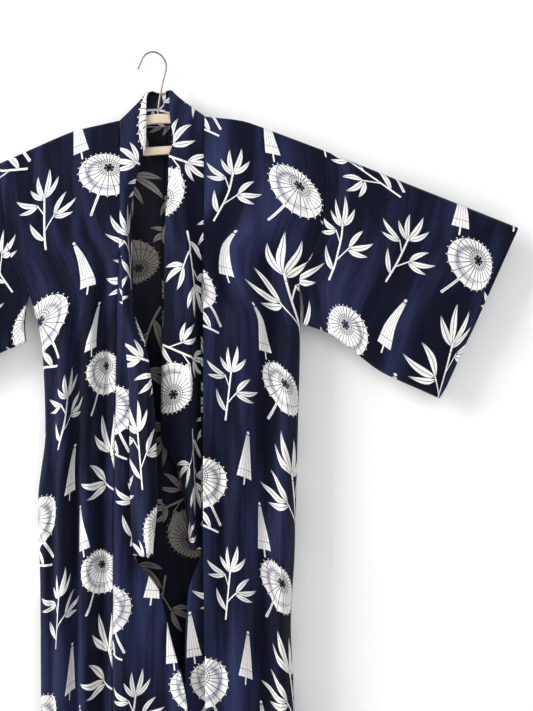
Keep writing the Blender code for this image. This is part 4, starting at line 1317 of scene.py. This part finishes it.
def furled_mask(nodes, u, v, furled):
    """Closed umbrella: a lined taper with a cap, a knob and a short stick."""
    x = wrapped(nodes, u, furled.x, TILE_WIDE)
    y = wrapped(nodes, v, furled.y, TILE_TALL)
    along, across = turned(nodes, x, y, furled.turn)
    share = nodes.times(along, 1.0 / furled.length)
    half = nodes.fit(share, furled.half * (1.0 - FURLED_TOP), furled.half * FURLED_TOP)
    away = nodes.positive(across)
    ends = nodes.least(along, nodes.minus(furled.length, along))
    lines = nodes.math("DIVIDE", across, nodes.most(half, FURLED_LEAST_HALF))
    line = nodes.positive(nodes.minus(nodes.math("FRACT", nodes.times(lines, FURLED_LINES)), 0.5))
    gaps = nodes.minus(nodes.times(line, nodes.times(half, 1.0 / FURLED_LINES)), FURLED_LINE_HALF)
    band = nodes.minus(nodes.positive(nodes.minus(along, furled.length * FURLED_BAND)), FURLED_BAND_HALF)
    body = nodes.least(nodes.minus(half, away), ends, gaps, band)
    start = furled.length + FURLED_STICK_START
    end = furled.length + FURLED_STICK_END
    stick = bar_mask(nodes, along, across, start, end, FURLED_STICK_HALF)
    knob = nodes.minus(KNOB_RADIUS, nodes.size(nodes.plus(along, KNOB_AWAY), across))
    return nodes.most(body, stick, knob)


def make_print_group():
    """The print as a node group: how white and how smudged the flat cloth is."""
    tree = bpy.data.node_groups.new("cotton_print", "ShaderNodeTree")
    tree.interface.new_socket("Flat", in_out="INPUT", socket_type="NodeSocketVector")
    tree.interface.new_socket("White", in_out="OUTPUT", socket_type="NodeSocketFloat")
    tree.interface.new_socket("Smudge", in_out="OUTPUT", socket_type="NodeSocketFloat")
    nodes = Nodes(tree)
    entry = nodes.add("NodeGroupInput")
    leave = nodes.add("NodeGroupOutput")
    split = nodes.add("ShaderNodeSeparateXYZ")
    nodes.put(split.inputs[0], entry.outputs[0])
    wobble = nodes.add("ShaderNodeTexNoise")
    nodes.put(wobble.inputs["Vector"], entry.outputs[0])
    wobble.inputs["Scale"].default_value = WOBBLE_SCALE
    shake = nodes.times(nodes.minus(wobble.outputs["Fac"], 0.5), WOBBLE)
    u = nodes.plus(split.outputs[0], shake)
    v = nodes.minus(split.outputs[1], shake)
    masks = [spray_mask(nodes, u, v, spray) for spray in SPRAYS]
    masks += [furled_mask(nodes, u, v, furled) for furled in FURLED]
    smudges = []
    discs = []
    for umbrella in UMBRELLAS:
        white, smudge = umbrella_mask(nodes, u, v, umbrella)
        discs.append(white)
        smudges.append(smudge)
    field = nodes.most(*masks, *discs)
    white = nodes.fit(field, 1.0 / (2.0 * EDGE_SOFT), 0.5, clamped=True)
    nodes.put(leave.inputs["White"], white)
    nodes.put(leave.inputs["Smudge"], nodes.most(*smudges))
    return tree


def new_finish(name):
    """A new material with its node helper and its shader."""
    made = bpy.data.materials.new(name)
    made.use_nodes = True
    return made, Nodes(made.node_tree), made.node_tree.nodes["Principled BSDF"]


def add_bump(nodes, shader, height, strength, distance):
    bump = nodes.add("ShaderNodeBump")
    bump.inputs["Strength"].default_value = strength
    bump.inputs["Distance"].default_value = distance
    nodes.put(bump.inputs["Height"], height)
    nodes.put(shader.inputs["Normal"], bump.outputs[0])


def make_cotton(name, ground, worn_and_sheen, white, smudge_colour, print_group):
    """Plain woven cotton with the print, its slubs and its paler places, which are partly wear and partly
    painted sheen.
    """
    _, nodes, shader = new_finish(name)
    flat = nodes.add("ShaderNodeUVMap")
    flat.uv_map = "flat"
    place = flat.outputs[0]
    printed = nodes.add("ShaderNodeGroup")
    printed.node_tree = print_group
    nodes.put(printed.inputs[0], place)
    warp = nodes.noise(nodes.stretch(place, WARP), 1.0, 1.0)
    weft = nodes.noise(nodes.stretch(place, WEFT), 1.0, 1.0)
    threads = nodes.plus(warp, weft)
    clouds = nodes.noise(nodes.stretch(place, CLOUDS), 1.0, 5.0)
    streaks = nodes.noise(nodes.stretch(place, STREAKS), 1.0, 3.0)
    # Share of paler navy in clouds and streaks: wear and painted sheen
    wear_and_sheen_field = nodes.fit(clouds, 3.8, nodes.fit(streaks, 0.65, -2.1))
    wear_and_sheen_share = nodes.fit(threads, 0.5, nodes.minus(wear_and_sheen_field, 0.5), clamped=True)
    ground_colour = nodes.blend(wear_and_sheen_share, ground, worn_and_sheen)
    print_colour = nodes.blend(nodes.times(printed.outputs["Smudge"], 0.75), white, smudge_colour)
    thin = nodes.fit(threads, -0.55, 1.5, clamped=True)
    cover = nodes.times(printed.outputs["White"], thin)
    nodes.put(shader.inputs["Base Color"], nodes.blend(cover, ground_colour, print_colour))
    nodes.put(shader.inputs["Roughness"], nodes.fit(threads, 0.12, 0.74))
    shader.inputs["Specular IOR Level"].default_value = 0.09
    shader.inputs["Sheen Weight"].default_value = 0.03
    shader.inputs["Sheen Roughness"].default_value = 0.5
    add_bump(nodes, shader, threads, 0.35, 0.0004)


def make_wood():
    """Pale bare wood with long fine grain."""
    made, nodes, shader = new_finish("hanger_wood_grain")
    spot = nodes.add("ShaderNodeTexCoord")
    grain = nodes.noise(nodes.stretch(spot.outputs["Object"], (14.0, 420.0, 420.0)), 1.0, 4.0)
    wear = nodes.noise(spot.outputs["Object"], 40.0, 2.0)
    tone = nodes.fit(grain, 1.3, nodes.fit(wear, 0.5, -0.5), clamped=True)
    nodes.put(shader.inputs["Base Color"], nodes.blend(tone, WOOD_PALE, WOOD_GRAIN))
    nodes.put(shader.inputs["Roughness"], nodes.fit(grain, 0.25, 0.45))
    add_bump(nodes, shader, grain, 0.25, 0.0005)
    return made


def make_wire():
    """Dull steel wire with brown patches."""
    made, nodes, shader = new_finish("hook_wire_dull")
    spot = nodes.add("ShaderNodeTexCoord")
    patches = nodes.noise(spot.outputs["Object"], 160.0, 4.0)
    nodes.put(shader.inputs["Base Color"], nodes.blend(patches, WIRE_COLOUR, WIRE_BROWN))
    nodes.put(shader.inputs["Roughness"], nodes.fit(patches, 0.4, 0.2))
    shader.inputs["Metallic"].default_value = 0.85
    return made


def closed_solid(name, rings, finish, slot_name, *nodes):
    """Smooth closed solid over rings of points, with its ends filled in."""
    builder = bmesh.new()
    loops = [[builder.verts.new(metres(point)) for point in ring] for ring in rings]
    for first, second in zip(loops, loops[1:]):
        for index in range(len(first)):
            after = (index + 1) % len(first)
            builder.faces.new((first[index], second[index], second[after], first[after]))
    builder.faces.new(list(reversed(loops[0])))
    builder.faces.new(loops[-1])
    bmesh.ops.recalc_face_normals(builder, faces=builder.faces)
    if builder.calc_volume(signed=True) < 0.0:
        bmesh.ops.reverse_faces(builder, faces=builder.faces)
    mesh = smooth_mesh(name, builder)
    mesh.set_sharp_from_angle(angle=SHARP_ANGLE)
    mesh.materials.append(finish)
    thing = placed(name, mesh)
    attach(thing, "root")
    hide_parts(*nodes)


def fine_bar_ring(x, top, height, depth, top_corner, size):
    """Section of a bar with rounded corners, drawn in by size."""
    middle = top - height / 2.0
    ring = []
    for quarter, radius in enumerate((top_corner, top_corner, BAR_CORNER, BAR_CORNER)):
        side_y = (1 if quarter in (0, 3) else -1) * (depth / 2.0 - radius)
        side_z = top - radius if quarter < 2 else top - height + radius
        for part in parts(8):
            angle = math.pi / 2.0 * (quarter + part)
            y = side_y + radius * math.cos(angle)
            ring.append((x, y * size, mix(middle, side_z + radius * math.sin(angle), size)))
    return ring


def make_bar(name, half_length, top_of, height_of, depth, top_corner, finish, node):
    """Wooden bar whose ends are softly rounded off."""
    ends = []
    for part in parts(6):
        turn = math.pi / 2.0 * part
        away = half_length - BAR_END_ROUND * (1.0 - math.cos(turn))
        ends.append((away, mix(BAR_END_SIZE, 1.0, math.sin(turn))))
    stations = [(-away, size) for away, size in ends]
    stations += [((half_length - BAR_END_ROUND) * (2.0 * part - 1.0), 1.0) for part in parts(60)[1:-1]]
    stations += reversed(ends)
    rings = []
    for away, size in stations:
        x = HANGER_X + away
        rings.append(fine_bar_ring(x, top_of(x), height_of(x), depth, top_corner, size))
    closed_solid(name, rings, finish, "hanger_wood", node)


def make_post(end, name, finish, node):
    """Turned post between the two bars."""
    x = HANGER_X + end * POST_REACH
    spots = (x - POST_RADIUS, x, x + POST_RADIUS)
    high = min(bar_top(spot) - upper_height(spot) for spot in spots) - WOOD_GAP
    low = max(lower_top(spot) for spot in spots) + WOOD_GAP
    rings = []
    for share in parts(16):
        radius = POST_RADIUS * (0.93 + 0.07 * math.sin(math.pi * share))
        ring = []
        for part in parts(32)[:-1]:
            angle = 2.0 * math.pi * part
            ring.append((x + radius * math.cos(angle), radius * math.sin(angle), mix(low, high, share)))
        rings.append(ring)
    closed_solid(name, rings, finish, "hanger_wood", node)


def make_hook(finish):
    """Bent wire with a rounded tip, standing in the upper bar."""
    route = [through(HOOK_ROUTE, part) for part in parts(120)]
    tip_sizes = (0.55, 0.85)
    rings = []
    for index, (x, z) in enumerate(route):
        before = route[max(index - 1, 0)]
        after = route[min(index + 1, len(route) - 1)]
        run = math.dist(before, after)
        way_x = (after[0] - before[0]) / run
        way_z = (after[1] - before[1]) / run
        radius = WIRE_RADIUS * (tip_sizes[index] if index < len(tip_sizes) else 1.0)
        ring = []
        for part in parts(20)[:-1]:
            angle = 2.0 * math.pi * part
            out = radius * math.cos(angle)
            ring.append((x - way_z * out, radius * math.sin(angle), z + way_x * out))
        rings.append(ring)
    closed_solid("hook_wire_bent", rings, finish, "hook_wire", "hanger_hook")


def plain_finish(name, colour, roughness, one_sided=False):
    """Plain material, see-through on its back face where it is one-sided."""
    made, nodes, shader = new_finish(name)
    shader.inputs["Base Color"].default_value = colour
    shader.inputs["Roughness"].default_value = roughness
    if one_sided:
        see_through = nodes.add("ShaderNodeBsdfTransparent")
        either = nodes.add("ShaderNodeMixShader")
        facing = nodes.add("ShaderNodeNewGeometry")
        output = made.node_tree.nodes["Material Output"]
        nodes.put(either.inputs[0], facing.outputs["Backfacing"])
        nodes.put(either.inputs[1], shader.outputs[0])
        nodes.put(either.inputs[2], see_through.outputs[0])
        nodes.put(output.inputs["Surface"], either.outputs[0])
    return made


def stage_plane(name, corners, finish):
    mesh = bpy.data.meshes.new(name)
    mesh.from_pydata(corners, [], [(0, 1, 2, 3)])
    mesh.materials.append(finish)
    return placed(name, mesh)


def make_stage():
    """White wall behind the robe, which shows from its front only, and a pale floor."""
    white = plain_finish("wall_white", WALL_WHITE, 0.9, one_sided=True)
    pale = plain_finish("floor_pale", FLOOR_PALE, 0.7)
    wide = STAGE_HALF
    wall = stage_plane("wall", [(-wide, WALL_Y, FLOOR_Z), (wide, WALL_Y, FLOOR_Z),
                                (wide, WALL_Y, WALL_TOP), (-wide, WALL_Y, WALL_TOP)], white)
    floor = stage_plane("floor", [(-wide, -wide, FLOOR_Z), (wide, -wide, FLOOR_Z),
                                  (wide, wide, FLOOR_Z), (-wide, wide, FLOOR_Z)], pale)


def make_lights():
    """Square lights, all turned to the middle of the robe."""
    for light in LIGHTS:
        lamp = bpy.data.lights.new(light.name, "AREA")
        lamp.size = light.size
        lamp.energy = light.watts
        lamp.color = light.colour
        thing = placed(light.name, lamp)
        thing.location = light.place
        way = Vector(LIT_PLACE) - thing.location
        thing.rotation_euler = way.to_track_quat("-Z", "Y").to_euler()


def make_camera():
    """Straight from the front, with the hook high up and the hem out of the frame."""
    lens = bpy.data.cameras.new("camera")
    lens.sensor_fit = "VERTICAL"
    lens.sensor_height = SENSOR
    lens.lens = SENSOR * CAMERA_AWAY / FRAME_TALL
    lens.clip_start = 0.05
    camera = placed("camera", lens)
    camera.location = (FRAME_X, -CAMERA_AWAY, FRAME_Z)
    camera.rotation_euler = (math.radians(90.0), 0.0, 0.0)
    bpy.context.scene.camera = camera


def make_world():
    world = bpy.data.worlds.new("studio")
    world.use_nodes = True
    background = world.node_tree.nodes["Background"]
    background.inputs["Color"].default_value = WORLD_COLOUR
    background.inputs["Strength"].default_value = WORLD_STRENGTH
    bpy.context.scene.world = world
    bpy.context.scene.view_settings.view_transform = "Standard"


def main():
    printed = make_print_group()
    make_cotton("cotton_face", NAVY, NAVY_WORN_AND_SHEEN, PRINT_WHITE, PRINT_SMUDGE, printed)
    # The inside: the same cotton with its print and paler navy darkened as painted shade
    make_cotton("cotton_inside_painted_shade", INSIDE_NAVY, INSIDE_WORN_SHEEN_PAINTED_SHADE, INSIDE_PRINT_PAINTED_SHADE, INSIDE_PRINT_PAINTED_SHADE, printed)
    wood = make_wood()
    make_bar("wood_top_bar", BAR_HALF_LENGTH, bar_top, upper_height, BAR_DEPTH, FINE_TOP_CORNER,
             wood, "hanger_top_bar")
    make_bar("wood_lower_bar", LOWER_BAR_HALF_LENGTH, lower_top, lambda x: LOWER_BAR_HEIGHT,
             LOWER_BAR_DEPTH, BAR_CORNER, wood, "hanger_lower_bar")
    make_post(1, "wood_post_right", wood, "hanger_post_right")
    make_post(-1, "wood_post_left", wood, "hanger_post_left")
    make_hook(make_wire())
    for side, word in ((1, "right"), (-1, "left")):
        make_main_panel(side, word)
    for side, word in ((1, "right"), (-1, "left")):
        make_overlap(side, word)
        make_sleeve(side, word)
    make_collar()
    make_stage()
    make_lights()
    make_world()
    make_camera()


main()
